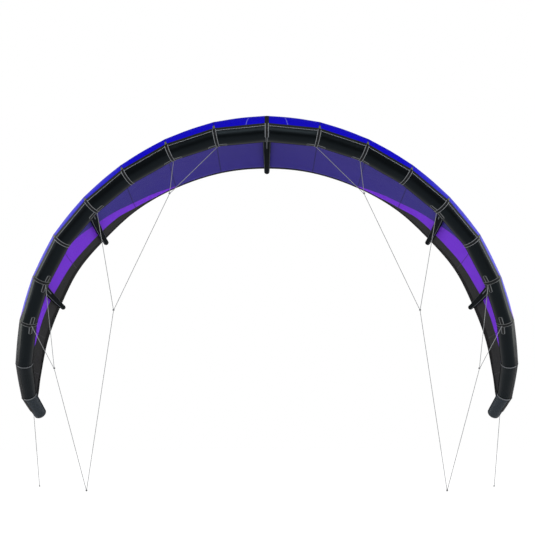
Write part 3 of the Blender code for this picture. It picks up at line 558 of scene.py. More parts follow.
def bezier(handles, share):
    a, b, c, d = handles
    rest = 1 - share
    return a * rest**3 + b * 3 * rest**2 * share + c * 3 * rest * share**2 + d * share**3


def cloth_point(place, share):
    """The middle of the cloth, share going from the seam to the trailing edge."""
    return on_side(bezier(section_handles(abs(place)), share), place)


def cloth_axes(place, share):
    """Rearward, upward and sideways directions of the cloth."""
    back = (cloth_point(place, share + SLOPE_STEP) - cloth_point(place, share - SLOPE_STEP)).normalized()
    across = cloth_point(place + SLOPE_STEP, share) - cloth_point(place - SLOPE_STEP, share)
    up = across.cross(back).normalized()
    return back, up, back.cross(up)


def billow(place, share):
    """How far the cloth swells above its seams between two ribs, flat on the tube and at the hem."""
    size = min(chord_at(place) / CENTRE_CHORD, 1)
    across = sin(pi * (abs(place) % 1)) ** BILLOW_POWERS[0]
    return BILLOW * size * across * sin(pi * min(share / BILLOW_END, 1)) ** BILLOW_POWERS[1]


def above_cloth(place, share, rise):
    """A point above the middle of the cloth, square to it a little behind the seam."""
    return cloth_point(place, share) + cloth_axes(place, max(share, 0.001))[1] * rise


def billowed_point(place, share):
    return above_cloth(place, share, billow(place, share))


def front_curve(place, fronts):
    """The share at which a cloth begins, read along the span from listed points."""
    tree = place.id_data
    curve = tree.nodes.new("ShaderNodeFloatCurve")
    line = curve.mapping.curves[0]
    shown = [(x / PANELS, y) for x, y in fronts]
    line.points[0].location = shown[0]
    line.points[-1].location = shown[-1]
    for spot in shown[1:-1]:
        line.points.new(*spot)
    curve.mapping.update()
    tree.links.new(place, curve.inputs["Value"])
    return curve.outputs[0]


def shades(tone, low, high):
    """A darker and a lighter shade of one tone."""
    return tuple(part * low for part in tone), tuple(part * high for part in tone)


def within(value, spot, half):
    """1 where a value lies within half a line's width of a spot."""
    return maths("LESS_THAN", apart(value, spot), half)


def ramp(value, start, rise):
    """0 up to a start, and 1 past a rise from there."""
    return maths("DIVIDE", maths("SUBTRACT", value, start), rise, clamp=True)


def greatest(first, *others):
    for other in others:
        first = maths("MAXIMUM", first, other)
    return first


def upper_edge(tree, shader, out, v, tone, charcoal):
    """The upper side's sheen toward the legs, its dark tips and its two darts."""
    dark_tip = beyond(out, scaled(v, TIP_SLANT, TIP_START))
    sheen = scaled(dark_tip, -SHEEN, SHEEN)
    sheen = times(ramp(out, SHEEN_START, SHEEN_RISE), sheen)
    tree.links.new(sheen, shader.inputs["Sheen Weight"])
    shader.inputs["Sheen Tint"].default_value = (0.8, 0.76, 1.0, 1)
    slanted = scaled(v, DART_SLANT, out)
    line = within(slanted, DART_PLACE, DART_HALF)
    line = times(line, maths("LESS_THAN", v, DART_END))
    tone = mixed(dark_tip, tone, charcoal)
    return mixed(times(line, 0.22), tone, (0.45, 0.45, 0.9))


def canopy_material(name, indigo, purple, charcoal, roughness, gloss, upper):
    """Ripstop cloth in three colours that meet along sewn curves, with seams at the ribs."""
    material, tree, shader = fresh_material(name, Roughness=roughness, Specular_IOR_Level=gloss)
    u, v = uv_parts(tree, "surface")
    size = uv_map(tree, "size")
    place = scaled(u, 2 * LAST_RIB, -LAST_RIB)
    out = maths("DIVIDE", maths("ABSOLUTE", place), PANELS)
    fronts = [front_curve(out, front) for front in (PURPLE_FRONT, CHARCOAL_FRONT)]
    in_purple, in_charcoal = [beyond(v, front) for front in fronts]
    faded = noise(size, scale=1.6, detail=3.0)
    tone = mixed(in_purple, mixed(faded, *shades(indigo, 0.9, 1.1)), purple)
    tone = mixed(in_charcoal, tone, charcoal)
    if upper:
        tone = upper_edge(tree, shader, out, v, tone, charcoal)
    rib = times(beyond(joint_nearness(place, RIB_SEAM), 0.001), 0.5)
    joins = greatest(*[within(v, front, COLOUR_SEAM) for front in fronts])
    seams = greatest(rib, times(joins, 0.45))
    thread = mixed(in_charcoal, (0.012, 0.012, 0.02), (0.05, 0.05, 0.053))
    tone = mixed(seams, tone, thread)
    black = beyond(v, front_curve(out, BLACK_FRONT))
    tone = mixed(black, tone, (0.0035, 0.0035, 0.004))
    crumple = drawn_noise(size, scales=(26.0, 3.0), detail=3.0)
    near = maths("SUBTRACT", 1.0, ramp(v, 0.0, CRUMPLE_END))
    slack = drawn_noise(size, scales=(3.0, 5.0), detail=4.0)
    height = scaled(slack, 1.3, times(crumple, near))
    grid = []
    for way in uv_parts(tree, "size"):
        part = maths("FRACT", times(way, RIPSTOP_PER_METRE))
        grid.append(beyond(part, 0.86))
    height = scaled(greatest(*grid), 0.03, height)
    height = scaled(rib, 0.6, height)
    surfaced(tree, shader, tone, height, relief=0.004)
    return material


# Painted shade: the underside's colours are darker, greyer copies of the upper side's, for the shade
# beneath the cloth.
SHADED_UNDER_CLOTH = canopy_material(
    "canopy underside painted shade", indigo=(0.031, 0.022, 0.2), purple=(0.145, 0.023, 0.56),
    charcoal=(0.018, 0.018, 0.019), roughness=0.5, gloss=0.04, upper=False,
)
UPPER_CLOTH = canopy_material(
    "canopy upper side", indigo=(0.003, 0.0006, 0.39), purple=(0.13, 0.03, 0.46),
    charcoal=(0.03, 0.031, 0.034), roughness=0.42, gloss=0.015, upper=True,
)
half_places = [k / CLOTH_STEPS for k in range(round(LAST_RIB * CLOTH_STEPS))] + [LAST_RIB]
cloth_shares = [CLOTH_END * share**CLOTH_BUNCHING for share in shares(CLOTH_ROWS)]
canopy = lofted(
    "canopy", both_ways(half_places), cloth_shares, billowed_point,
    lambda place, share: (place * MEAN_PANEL, share * chord_at(place)),
)
edited(canopy, turn_out)
highest = max(canopy.data.polygons, key=lambda face: face.center.z)
if highest.normal.z < 0:
    edited(canopy, bpy.ops.mesh.flip_normals)
cloth_panels = (
    "indigo_inner", "indigo_middle", "indigo_outer", "purple_inner", "purple_outer",
    "charcoal_inner", "charcoal_tip",
)
cloth_nodes = [f"canopy_{panel}_{label}" for panel in cloth_panels for side, label in SIDES]
dressed(canopy, UPPER_CLOTH, "canopy_indigo", *cloth_nodes)
# The wall's lower faces take the underside's painted-shade colours.
canopy.data.materials.append(SHADED_UNDER_CLOTH)
wall = canopy.modifiers.new("wall", "SOLIDIFY")
wall.thickness = CLOTH
wall.offset = 0
wall.material_offset = 1
wall.material_offset_rim = 1
bpy.ops.object.modifier_apply(modifier="wall")


# Hem. Folded black webbing closes the trailing edge from tip to tip, stitched through the cloth,
# and ends in a tab at each wing tip that the back line hangs from.
HEM_WIDTH = 0.012
HEM_THICKNESS = 0.0026
HEM_LAP = 0.001
HEM_SECTION = ((0.0, 1), (0.7, 1), (1.0, 0.55), (1.0, -0.55), (0.7, -1), (0.0, -1), (0.0, 1))
HEM_GIRTH = 0.03
TAB_LENGTH = 0.03
TAB_STATIONS = 0.3
STITCH_SHARE = 0.72


def stitched_material(name, base, thread, lines, dash=0.0, end=0.0, rim=0.0, tip=None, leg_light_and_shade=None):
    """Webbing or tape with stitch lines, given as places and half widths across it.

    The lines break by dash, start past end, and close across both ends within rim. A tip colours
    what lies before end. The three tones of leg light and shade are a base painted paler as a
    highlight and a thread painted dimmer as shade near the wing tips, and a darker last tone.
    """
    material, tree, shader = fresh_material(name, Roughness=0.6, Specular_IOR_Level=0.15)
    u, v = uv_parts(tree, "surface")
    from_middle = apart(u, 0.5)
    drawn = greatest(*[within(v, spot, half) for spot, half in lines])
    if dash:
        part = maths("FRACT", maths("DIVIDE", uv_parts(tree, "size")[0], dash))
        drawn = times(drawn, maths("LESS_THAN", part, STITCH_SHARE))
    if rim:
        drawn = greatest(drawn, beyond(from_middle, 0.5 - rim))
    if end:
        drawn = times(drawn, beyond(u, end))
    weave = noise(uv_map(tree, "size"), scale=700.0)
    dark = mixed(weave, *shades(base, 0.7, 1.3))
    if tip:
        dark = mixed(maths("LESS_THAN", u, end * 0.75), dark, tip)
    # Painted highlight and shade near the wing tips: a paler base and dimmer thread, then a darker last
    # tone.
    if leg_light_and_shade:
        low = ramp(from_middle, 0.22, 0.1)
        lowest = ramp(from_middle, 0.37, 0.04)
        dark = mixed(lowest, mixed(low, dark, leg_light_and_shade[0]), leg_light_and_shade[2])
        thread = mixed(lowest, mixed(low, thread, leg_light_and_shade[1]), leg_light_and_shade[2])
    height = scaled(drawn, 0.8, times(weave, 0.3))
    surfaced(tree, shader, mixed(drawn, dark, thread), height, relief=0.0008)
    return material


def hem_point(place, turn):
    """Round the hem's section: over its top, round its fold, under it and back."""
    past = max(abs(place) - LAST_RIB, 0)
    place = copysign(min(abs(place), LAST_RIB), place)
    sides = len(HEM_SECTION) - 1
    k = min(int(turn * sides), sides - 1)
    f = turn * sides - k
    start, end = HEM_SECTION[k], HEM_SECTION[k + 1]
    reach, way = start[0] + (end[0] - start[0]) * f, start[1] + (end[1] - start[1]) * f
    front = 1 - HEM_WIDTH / (3 * TAIL_REACH_SHARE * chord_at(place)) - HEM_LAP
    share = front + (1 - front) * reach
    point = above_cloth(place, share, way * HEM_THICKNESS / 2)
    return point - Vector((0, 0, past / TAB_STATIONS * TAB_LENGTH))


hem_tape = stitched_material(
    "hem webbing", base=(0.0065, 0.0065, 0.0075), thread=(0.05, 0.05, 0.055),
    lines=((0.3, 0.03), (0.8, 0.03)), dash=0.006,
)
hem = lofted(
    "trailing_hem", both_ways([*half_places, LAST_RIB + TAB_STATIONS / 2, LAST_RIB + TAB_STATIONS]),
    shares(12), hem_point, sized(MEAN_PANEL, HEM_GIRTH),
)
edited(hem, merge, turn_out)
dressed(hem, hem_tape, "hem_webbing", "trailing_edge_hem")


# Front seam. The cloth's front edge is sewn to the tube under a dark strip, and a grey row of
# stitches runs along the strip from tip to tip.
STRIP_FIRST, STRIP_LAST = radians(30), radians(57)
STRIP_END = 9.72
STRIP_GIRTH = 0.03
STRIP_RISE = 0.001
STRIP_LAP, STRIP_LAP_RISE = 0.09, 0.0022
STRIP_SINK = 0.0008


def eased(value):
    """A smooth step from 0 to 1."""
    part = min(max(value, 0), 1)
    return part * part * (3 - 2 * part)


def lap_rise(angle, reach, rise):
    """How much higher a trim runs where it laps over the cloth's front edge."""
    return rise * eased((SEAM_ANGLE + reach - angle) / reach)


def strip_point(place, turn):
    angle = STRIP_FIRST + (STRIP_LAST - STRIP_FIRST) * turn
    sunk = STRIP_SINK if turn in (0.0, 1.0) else 0.0
    return tube_point(place, angle, STRIP_RISE + lap_rise(angle, STRIP_LAP, STRIP_LAP_RISE) - sunk)


def nearest_centre(point):
    """The nearest point of the tube's own middle line."""
    folded = Vector((abs(point.x), point.y, point.z))
    spots = []
    for start, end in zip(CENTRES, CENTRES[1:]):
        way = end - start
        f = min(max((folded - start).dot(way) / way.length_squared, 0), 1)
        spots.append(start + way * f)
    return on_side(min(spots, key=lambda spot: (folded - spot).length), point.x)


def trim(name, runs, turns, point_of, size_of, finish):
    """A strip sewn on the tube, its faces turned away from it."""
    piece = lofted(name, runs, turns, point_of, size_of)
    faces = piece.data.polygons
    inward = [face for face in faces if face.normal.dot(face.center - nearest_centre(face.center)) < 0]
    if len(inward) > len(faces) / 2:
        edited(piece, bpy.ops.mesh.flip_normals)
    dressed(piece, finish, "sleeve_cloth")


# Painted highlight and shade on the legs: the strip's base is painted a paler olive there and its
# stitches dimmer.
strip_cloth = stitched_material(
    "seam strip", base=(0.0085, 0.0095, 0.006), thread=(0.27, 0.29, 0.32), lines=((0.875, 0.055),),
    dash=0.012, leg_light_and_shade=((0.034, 0.038, 0.035), (0.072, 0.076, 0.076), (0.0045, 0.005, 0.006)),
)
strip_places = both_ways([place for place in panel_places if place < STRIP_END])
trim(
    "front_seam_strip", strip_places, shares(14), strip_point, sized(MEAN_PANEL, STRIP_GIRTH),
    strip_cloth,
)


# Joint tapes. A black tape with two grey edges covers each sewn joint of the tube, from a rounded
# end on the canopy round the front and under it. The two joints near the tip have one thin ring.
TAPE_WIDTH, THIN_TAPE_WIDTH = 0.033, 0.014
TAPE_RISE = 0.003
TAPE_LAP_RISE = 0.0014
TAPE_LAST = radians(208)
TAPE_SHIFTS = {4: -0.01, 6: -0.045, 9: -0.02}
TAPE_ON_CLOTH = 0.1
TAPE_CLOTH_SHARE = 0.042
TAPE_NECK, TAPE_WIDENING = 0.09, 0.05
TAPE_RUNS = [0, 0.01, 0.025, *shares(48)[2:]]
TAPE_SIZE = (0.3, 0.026)
TAPE_EDGES = ((0.12, 0.07), (0.88, 0.07))
TRIM_LAP = 0.14
TRIM_SINK = 0.0007


def at_edge(run, turn):
    return run in (0.0, 1.0) or turn in (0.0, 1.0)


def tape_point(joint, side, width):
    """The tape's surface, from its narrow end on the cloth round the tube."""

    def at(run, turn):
        across = turn - 0.5
        panel = joint - 1 if across < 0 else joint
        narrow = 0.5 + 0.5 * min(max((run - TAPE_NECK) / TAPE_WIDENING, 0), 1)
        place = joint + TAPE_SHIFTS.get(joint, 0) + across * width * narrow / panel_length(panel)
        rise = TAPE_RISE - TRIM_SINK * at_edge(run, turn)
        if run < TAPE_ON_CLOTH:
            share = TAPE_CLOTH_SHARE * (1 - run / TAPE_ON_CLOTH) * CENTRE_CHORD / chord_at(place)
            return on_side(above_cloth(place, share, rise), side)
        angle = SEAM_ANGLE + (TAPE_LAST - SEAM_ANGLE) * (run - TAPE_ON_CLOTH) / (1 - TAPE_ON_CLOTH)
        rise += lap_rise(angle, TRIM_LAP, TAPE_LAP_RISE)
        return on_side(half_tube_point(place, angle, rise), side)

    return at


WIDE_TAPE = stitched_material(
    "joint tape", base=(0.005, 0.006, 0.0075), thread=(0.17, 0.18, 0.19),
    lines=TAPE_EDGES, end=0.16, tip=(0.085, 0.092, 0.042),
)
# Painted shade: the tapes on the legs are a dimmer copy of the joint tape, with base, grey edges and end
# painted darker.
SHADED_LEG_TAPE = stitched_material(
    "leg joint tape painted shade", base=(0.004, 0.005, 0.006), thread=(0.1, 0.105, 0.108),
    lines=TAPE_EDGES, end=0.16, tip=(0.07, 0.075, 0.055),
)
THIN_TAPE = stitched_material(
    "thin joint tape", base=(0.005, 0.006, 0.0075), thread=(0.1, 0.107, 0.115),
    lines=((0.5, 0.36),), end=0.16,
)
TAPES = (
    (range(1, 6), TAPE_WIDTH, WIDE_TAPE), (range(6, 8), TAPE_WIDTH, SHADED_LEG_TAPE),
    (range(8, 10), THIN_TAPE_WIDTH, THIN_TAPE),
)
for joints, width, finish in TAPES:
    for joint in joints:
        for side, label in SIDES:
            trim(
                f"joint_tape_{joint}_{label}", TAPE_RUNS, shares(12), tape_point(joint, side, width),
                sized(*TAPE_SIZE), finish,
            )


# Middle strap. A black strap with grey piping runs from the canopy over the middle of the tube
# and narrows to a tab under it.
STRAP_WIDTH, STRAP_TAB_WIDTH = 0.036, 0.018
STRAP_LENGTH = 0.3
STRAP_LAST = radians(176)
STRAP_TAB_START, STRAP_NARROWING = radians(122), radians(8)
STRAP_RISE = 0.0024
STRAP_LAP_RISE = 0.0021
STRAP_ON_CLOTH = 0.15
STRAP_CLOTH_SHARE = 0.19


def strap_point(run, turn):
    """From the canopy round the tube's front, narrower past the front."""
    angle = SEAM_ANGLE + (STRAP_LAST - SEAM_ANGLE) * (run - STRAP_ON_CLOTH) / (1 - STRAP_ON_CLOTH)
    narrow = eased((angle - STRAP_TAB_START) / STRAP_NARROWING)
    width = STRAP_WIDTH + (STRAP_TAB_WIDTH - STRAP_WIDTH) * narrow
    place = (turn - 0.5) * width / panel_length(0)
    rise = STRAP_RISE - TRIM_SINK * at_edge(run, turn)
    if run < STRAP_ON_CLOTH:
        return above_cloth(place, STRAP_CLOTH_SHARE * (1 - run / STRAP_ON_CLOTH), rise)
    return tube_point(place, angle, rise + lap_rise(angle, TRIM_LAP, STRAP_LAP_RISE))


strap_cloth = stitched_material(
    "middle strap", base=(0.0065, 0.007, 0.0075), thread=(0.15, 0.162, 0.175),
    lines=((0.14, 0.1), (0.86, 0.1)), end=0.16,
)
trim(
    "middle_strap", shares(60), shares(12), strap_point, sized(STRAP_LENGTH, STRAP_WIDTH), strap_cloth,
)


# Bridle patches. A short webbing strap with rounded ends, edged in grey stitches, is sewn along
# the tube under the joint tape where each bridle line is fastened, and holds the line's loop.
# Each spot is a place in panels, an angle round the tube, half a length and a breadth.
PATCH_SPOTS = (
    (1, 157, 0.084, 0.036), (2, 159, 0.084, 0.036), (4, 148, 0.084, 0.036),
    (5.97, 131.5, 0.084, 0.035), (7, 120.5, 0.086, 0.036),
)
PATCH_RISE = 0.0019
PATCH_SINK = 0.0012
PATCH_ROUNDING = 0.12
PATCH_SIZE = (0.13, 0.023)


def patch_point(place, angle, reach, breadth, side):
    """The patch's surface along the tube and across it, narrowing round both its ends."""
    joint = round(place)

    def at(run, turn):
        off = (run - 0.5) * 2
        past = max(abs(off) - (1 - PATCH_ROUNDING), 0) / PATCH_ROUNDING
        width = breadth * sqrt(max(1 - past**2, 0.02))
        along = place + off * reach / panel_length(joint - 1 if off < 0 else joint)
        tilt = (turn - 0.5) * width / (TUBE_RADIUS * TUBE_SHARES[joint])
        rise = PATCH_RISE - PATCH_SINK * at_edge(run, turn)
        return on_side(half_tube_point(along, radians(angle) + tilt, rise), side)

    return at


patch_cloth = stitched_material(
    "bridle patch", base=(0.007, 0.0075, 0.0085), thread=(0.115, 0.122, 0.127),
    lines=((0.13, 0.1), (0.87, 0.1)), rim=0.022,
)
for spot in PATCH_SPOTS:
    for side, label in SIDES:
        trim(
            f"bridle_patch_{round(spot[0])}_{label}", shares(40), shares(10), patch_point(*spot, side),
            sized(*PATCH_SIZE), patch_cloth,
        )


# Bladders. Pale welded film holds the air inside the leading edge and inside each strut, a few
# millimetres within the sewn sleeves that take its pressure.
BLADDER_INSET = 0.006
FILM, film_tree, film_shader = fresh_material("bladder film", Roughness=0.25)
film_tone = mixed(noise(object_place(film_tree), scale=20.0), (0.5, 0.52, 0.55), (0.6, 0.62, 0.65))
film_tree.links.new(film_tone, film_shader.inputs["Base Color"])


def bladder_point(place, turn):
    """The film inside the leading edge, clear of the sleeve all round."""
    return tube_point(place, turn * tau, -BLADDER_INSET)


def close_ends():
    bpy.ops.mesh.select_all(action="DESELECT")
    bpy.ops.mesh.select_non_manifold()
    bpy.ops.mesh.edge_face_add()
    bpy.ops.mesh.select_all(action="SELECT")


main_bladder = lofted(
    "leading_edge_film", both_ways(list(range(PANELS + 1))), shares(48), bladder_point,
    sized(MEAN_PANEL, TUBE_GIRTH),
)
edited(main_bladder, merge, close_ends, turn_out)
dressed(main_bladder, FILM, "bladder_film", "leading_edge_bladder")


# Struts. Tapered tubes of the same black cloth, cut to seat on the back of the leading edge, sewn
# to the canopy along their top and closed by a rounded end that carries the hem. Each has a name,
# the joint that it stands at, and its girth against the middle strut's.
STRUTS = [("centre", 0, 1.0, 1)] + [
    (f"{bay}_{label}", joint, slimming, side)
    for bay, joint, slimming in (("inner", 4, 0.95), ("outer", 6, 0.88))
    for side, label in SIDES
]
STRUT_STATIONS = (0.0, 0.4, 0.75, 1.0)
STRUT_WIDTHS = (0.1, 0.086, 0.071, 0.05)
STRUT_DROP = 0.0018
ROOT_TOP, ROOT_BOTTOM = radians(-14), radians(-92)
ROOT_CLEARANCE = 0.0006
ROOT_SHRINK = 75
ROOT_LEAVING, ROOT_ARRIVING = 0.4, 0.35
STRUT_FREE_REACH = 0.27
STRUT_OVERHANG = 0.024
STRUT_DOME = 0.012
END_ROUNDNESS = 0.8
ROOT_RUN, SPAN_RUN, END_RUN = 0.15, 0.75, 0.1
STRAIGHT_SHARE = 0.3
STRUT_INSET = 0.004
PIPING_SPOTS, PIPING_HALF = (0.35, 0.65), 0.022
SHORT_PIPING_HALF = 0.024
CUFF_PLACE, CUFF_HALF = 0.035, 0.0022


def strut_material(name, seam_end):
    """Black sleeve cloth with pale piping beside the canopy and a short seam under the root."""
    material, tree, shader = fresh_material(name, Roughness=0.6, Specular_IOR_Level=0.0)
    u, v = uv_parts(tree, "surface")
    size = uv_map(tree, "size")
    worn = noise(size, scale=4.0, detail=3.0)
    tone = mixed(worn, (0.0066, 0.0079, 0.0085), (0.0114, 0.0132, 0.014))
    piping = [within(v, spot, PIPING_HALF) for spot in PIPING_SPOTS]
    short = within(v, 0.5, SHORT_PIPING_HALF)
    short = times(short, maths("LESS_THAN", u, seam_end))
    cuff = within(uv_parts(tree, "size")[0], CUFF_PLACE, CUFF_HALF)
    lines = greatest(*piping, short, cuff)
    pucker = drawn_noise(size, scales=(5.0, 50.0), detail=3.0)
    weave = times(noise(size, scale=1400.0), 0.012)
    height = scaled(pucker, 0.9, weave)
    height = scaled(lines, 0.25, height)
    surfaced(tree, shader, mixed(lines, tone, (0.085, 0.092, 0.1)), height, relief=0.004)
    return material


def strut_section(joint, slimming, share):
    back, up, side = cloth_axes(joint, share)
    radius = smooth_at(STRUT_STATIONS, STRUT_WIDTHS, share) * slimming / 2
    return cloth_point(joint, share) - up * (radius + STRUT_DROP), back, up, side, radius


def first_free_share(joint):
    """Where the strut's round section begins, clear of the tube."""
    share = 0.02
    while (cloth_point(joint, share) - centre_at(joint)).length < STRUT_FREE_REACH:
        share += 0.005
    return share


def strut_point(joint, slimming, side_of, inset):
    """The strut's skin, or a film that lies inset inside it."""
    free = first_free_share(joint)
    root_radius = STRUT_WIDTHS[0] * slimming / 2 - inset
    end_middle, end_back, end_up, end_side, end_radius = strut_section(joint, slimming, 1.0)

    def on_tube(turn):
        spread = (ROOT_TOP - ROOT_BOTTOM) / 2 * (1 - ROOT_SHRINK * inset)
        angle = (ROOT_TOP + ROOT_BOTTOM) / 2 + spread * cos(turn)
        place = joint + root_radius / panel_length(joint) * sin(turn)
        return tube_point(place, angle, ROOT_CLEARANCE + inset)

    def round_point(share, turn):
        middle, back, up, side, size = strut_section(joint, slimming, share)
        return middle + (up * cos(turn) + side * sin(turn)) * (size - inset)

    def root_point(f, turn):
        """A fair curve that leaves the tube straight back and joins the free sleeve smoothly."""
        root, end = on_tube(turn), round_point(free, turn)
        back = strut_section(joint, slimming, free)[1]
        arriving = end - back * (end - root).length * ROOT_ARRIVING
        return bezier((root, root.lerp(end, ROOT_LEAVING), arriving, end), f)

    def end_point(f, turn):
        """The straight overhang past the cloth, and its dome."""
        straight = STRUT_OVERHANG - STRUT_DOME
        roll = max(f - STRAIGHT_SHARE, 0) / (1 - STRAIGHT_SHARE) * pi / 2
        reach = straight * min(f / STRAIGHT_SHARE, 1) + (STRUT_DOME - inset) * sin(roll)
        size = (end_radius - inset) * cos(roll) ** END_ROUNDNESS
        arm = end_up * cos(turn) + end_side * sin(turn)
        return end_middle + end_back * reach + arm * size

    def at(run, share_round):
        turn = share_round * tau
        if run < ROOT_RUN:
            point = root_point(run / ROOT_RUN, turn)
        elif run <= ROOT_RUN + SPAN_RUN:
            point = round_point(free + (1 - free) * (run - ROOT_RUN) / SPAN_RUN, turn)
        else:
            point = end_point((run - ROOT_RUN - SPAN_RUN) / END_RUN, turn)
        return on_side(point, side_of)

    return at


strut_cloth = strut_material("strut cloth", seam_end=0.5)
centre_strut_cloth = strut_material("centre strut cloth", seam_end=0.65)
strut_runs = [ROOT_RUN * share for share in shares(15)[:-1]]
strut_runs += [ROOT_RUN + SPAN_RUN * share for share in shares(60)]
strut_runs += [ROOT_RUN + SPAN_RUN + END_RUN * share for share in shares(12)[1:]]
for name, joint, slimming, side in STRUTS:
    cloth = strut_cloth if joint else centre_strut_cloth
    for piece_name, node, slices, inset, girth, finish, slot in (
        (f"sleeve_of_strut_{name}", f"strut_{name}", 48, 0.0, 0.27, cloth, "sleeve_cloth"),
        (f"film_of_strut_{name}", f"strut_bladder_{name}", 24, STRUT_INSET, 0.25, FILM, "bladder_film"),
    ):
        skin = lofted(
            piece_name, strut_runs, shares(slices), strut_point(joint, slimming, side, inset),
            sized(chord_at(joint), girth),
        )
        edited(skin, merge, turn_out)
        dressed(skin, finish, slot, node)


# Bridle. Taut coated lines join the patches in two nets a side and meet at knots, and the front
# line hangs from both nets as one long V with the knot that takes the flying line. The knot at a
# route's third point sits a little above it.
ROUTES = {
    "bridle_inner": (
        (0.4065, 0.0004, -0.1209), (0.8020, 0.0702, -0.4994), (0.8120, 0.0720, -0.5090),
        (0.8102, 0.0707, -0.4952), (0.7769, 0.0461, -0.2356),
    ),
    "bridle_middle": (
        (0.8144, 0.0726, -0.5140), (1.2849, 0.1915, -1.4725), (1.2910, 0.1930, -1.4850),
        (1.2933, 0.1927, -1.4712), (1.4272, 0.1748, -0.6612),
    ),
    "bridle_outer": (
        (1.8851, 0.3495, -1.2759), (1.8193, 0.3971, -1.9781), (1.8180, 0.3980, -1.9920),
        (1.8248, 0.4007, -1.9800), (2.0247, 0.4820, -1.6261),
    ),
    "front_line": (
        (1.2918, 0.1933, -1.4905), (1.5278, 0.2891, -3.0052), (1.5300, 0.2900, -3.0190),
        (1.5338, 0.2914, -3.0056), (1.8165, 0.3975, -1.9974),
    ),
}
ROUTE_STEPS = 8
KNOT_RISE, OUTER_KNOT_RISE = 0.004, 0.0066
KNOT_RADIUS = 0.0085
for name, route in ROUTES.items():
    rise = OUTER_KNOT_RISE if name == "bridle_outer" else KNOT_RISE
    for side, label in SIDES:
        body = f"front_line_{label}" if name == "front_line" else "kite"
        braided(f"{name}_cord_{label}", through(route, ROUTE_STEPS, side), f"{name}_{label}", body, {})
        spot = on_side(route[2], side) + Vector((0, 0, rise))
        knot(f"{name}_knot_{label}", spot, Vector((0, 0, 1)), KNOT_RADIUS, body)


# Hoses. Soft grey tubes carry air from the leading edge to each strut, welded on at both ends and
# pinched flat under their clip.
HOSE_LEVELS = 2
FLAT_ANGLE, SQUARE_ANGLE = radians(50), radians(60)


def hose_material():
    material, tree, shader = fresh_material(
        "hose rubber", Roughness=0.35, Specular_IOR_Level=0.5, Coat_Weight=0.1,
    )
    place = object_place(tree)
    tone = mixed(noise(place, scale=30.0), (0.36, 0.37, 0.39), (0.46, 0.47, 0.49))
    surfaced(tree, shader, tone, noise(place, scale=260.0), relief=0.0003)
    return material


def pair_triangles():
    bpy.ops.mesh.tris_convert_to_quads(face_threshold=FLAT_ANGLE, shape_threshold=SQUARE_ANGLE)


def softened(name, node):
    """A rounder copy of a CAD solid, with the solid's own outline."""
    piece = bpy.data.objects.new(name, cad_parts[node].data.copy())
    bpy.context.collection.objects.link(piece)
    edited(piece, merge, pair_triangles)
    rounder = piece.modifiers.new("round", "SUBSURF")
    rounder.levels = rounder.render_levels = HOSE_LEVELS
    bpy.ops.object.modifier_apply(modifier="round")
    bpy.ops.object.shade_smooth()
    return piece


hose_rubber = hose_material()
for name, *_ in STRUTS:
    dressed(softened(f"hose_tube_{name}", f"hose_{name}"), hose_rubber, "hose_rubber", f"hose_{name}")


# Valve and clips. Moulded grey plastic, a little rough from the mould, with soft plastic for the
# plug and the cap on its bending strap.
def moulded_material(name, colour, roughness):
    material, tree, shader = fresh_material(name, Roughness=roughness, Specular_IOR_Level=0.45)
    place = object_place(tree)
    tone = mixed(noise(place, scale=60.0, detail=3.0), *shades(colour, 0.85, 1.2))
    surfaced(tree, shader, tone, noise(place, scale=1500.0, detail=3.0), relief=0.0001)
    return material


HARD = moulded_material("hard grey plastic", (0.1, 0.1, 0.108), 0.42)
SOFT = moulded_material("soft grey plastic", (0.2, 0.2, 0.215), 0.55)
for name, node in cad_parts.items():
    if name.startswith(("clip_", "valve_")):
        node.data.materials.clear()
        node.data.materials.append(HARD if name.startswith(("clip_", "valve_base")) else SOFT)


# Stage. A plain white floor lies far below the hovering kite, under a sky that is white to the
# camera, and soft lamps stand above, in front of and on both sides of the kite.
FLOOR_HEIGHT = -3.7
FLOOR_SIZE = 18
PAPER_GLOW, PAPER_GLOW_SHARE = 1.1, 0.9
SKY_LIGHT = 0.55
MIRRORED_SKY = 0.07
BACKDROP_START, BACKDROP_SLOPE = 0.95, 25.0


def seen_rays(tree):
    """1 for what the camera sees, straight, mirrored or through something."""
    rays = tree.nodes.new("ShaderNodeLightPath").outputs
    return greatest(rays["Is Camera Ray"], rays["Is Glossy Ray"], rays["Is Transmission Ray"])


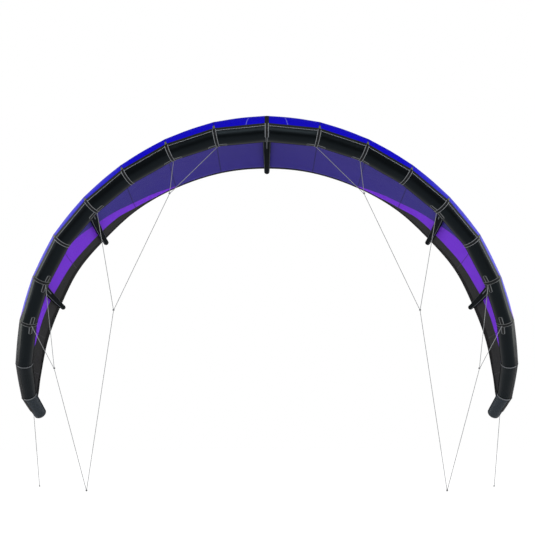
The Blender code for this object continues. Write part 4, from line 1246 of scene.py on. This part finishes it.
def stage_material():
    """White paper that looks evenly white to the camera."""
    material, tree, shader = fresh_material(
        "white paper", Roughness=0.9, Base_Color=(0.9, 0.9, 0.9, 1), Specular_IOR_Level=0.0,
    )
    share = times(seen_rays(tree), PAPER_GLOW_SHARE)
    blend = add(tree, "MixShader", share, shader.outputs[0], add(tree, "Emission", None, PAPER_GLOW))
    tree.links.new(blend, tree.nodes["Material Output"].inputs["Surface"])
    return material


bpy.ops.mesh.primitive_plane_add(size=FLOOR_SIZE, location=(0, 0, FLOOR_HEIGHT))
floor = bpy.context.object
floor.name = "floor"
floor.data.materials.append(stage_material())

world = bpy.data.worlds.new("studio")
world.use_nodes = True
sky = world.node_tree
way = sky.nodes.new("ShaderNodeSeparateXYZ")
sky.links.new(sky.nodes.new("ShaderNodeTexCoord").outputs["Generated"], way.inputs[0])
behind = scaled(way.outputs["Y"], BACKDROP_SLOPE, -BACKDROP_SLOPE * BACKDROP_START, clamp=True)
backdrop = scaled(behind, 1 - MIRRORED_SKY, MIRRORED_SKY)
camera_ray = sky.nodes.new("ShaderNodeLightPath").outputs["Is Camera Ray"]
above_light = maths("SUBTRACT", greatest(backdrop, camera_ray), SKY_LIGHT)
strength = scaled(seen_rays(sky), above_light, SKY_LIGHT)
sky.nodes["Background"].inputs["Color"].default_value = (1, 1, 1, 1)
sky.links.new(strength, sky.nodes["Background"].inputs["Strength"])
bpy.context.scene.world = world


def lamp(name, place, target, size, watts):
    light = bpy.data.lights.new(name, "AREA")
    light.shape = "RECTANGLE"
    light.size, light.size_y = size
    light.energy = watts
    shown = bpy.data.objects.new(name, light)
    bpy.context.collection.objects.link(shown)
    shown.location = place
    shown.rotation_euler = (Vector(target) - Vector(place)).to_track_quat("-Z", "Y").to_euler()


lamp("key", place=(0, -7.5, 6.5), target=(0, 0, -0.5), size=(6.0, 5.0), watts=620)
lamp("overhead", place=(0, 0.5, 5.5), target=(0, 0.5, -1), size=(5.0, 2.0), watts=60)
lamp("left side", place=(-7.0, 2.0, -0.5), target=(0, 0.6, -1), size=(7.0, 5.0), watts=490)
lamp("right side", place=(7.0, 2.0, -0.5), target=(0, 0.6, -1), size=(7.0, 5.0), watts=490)
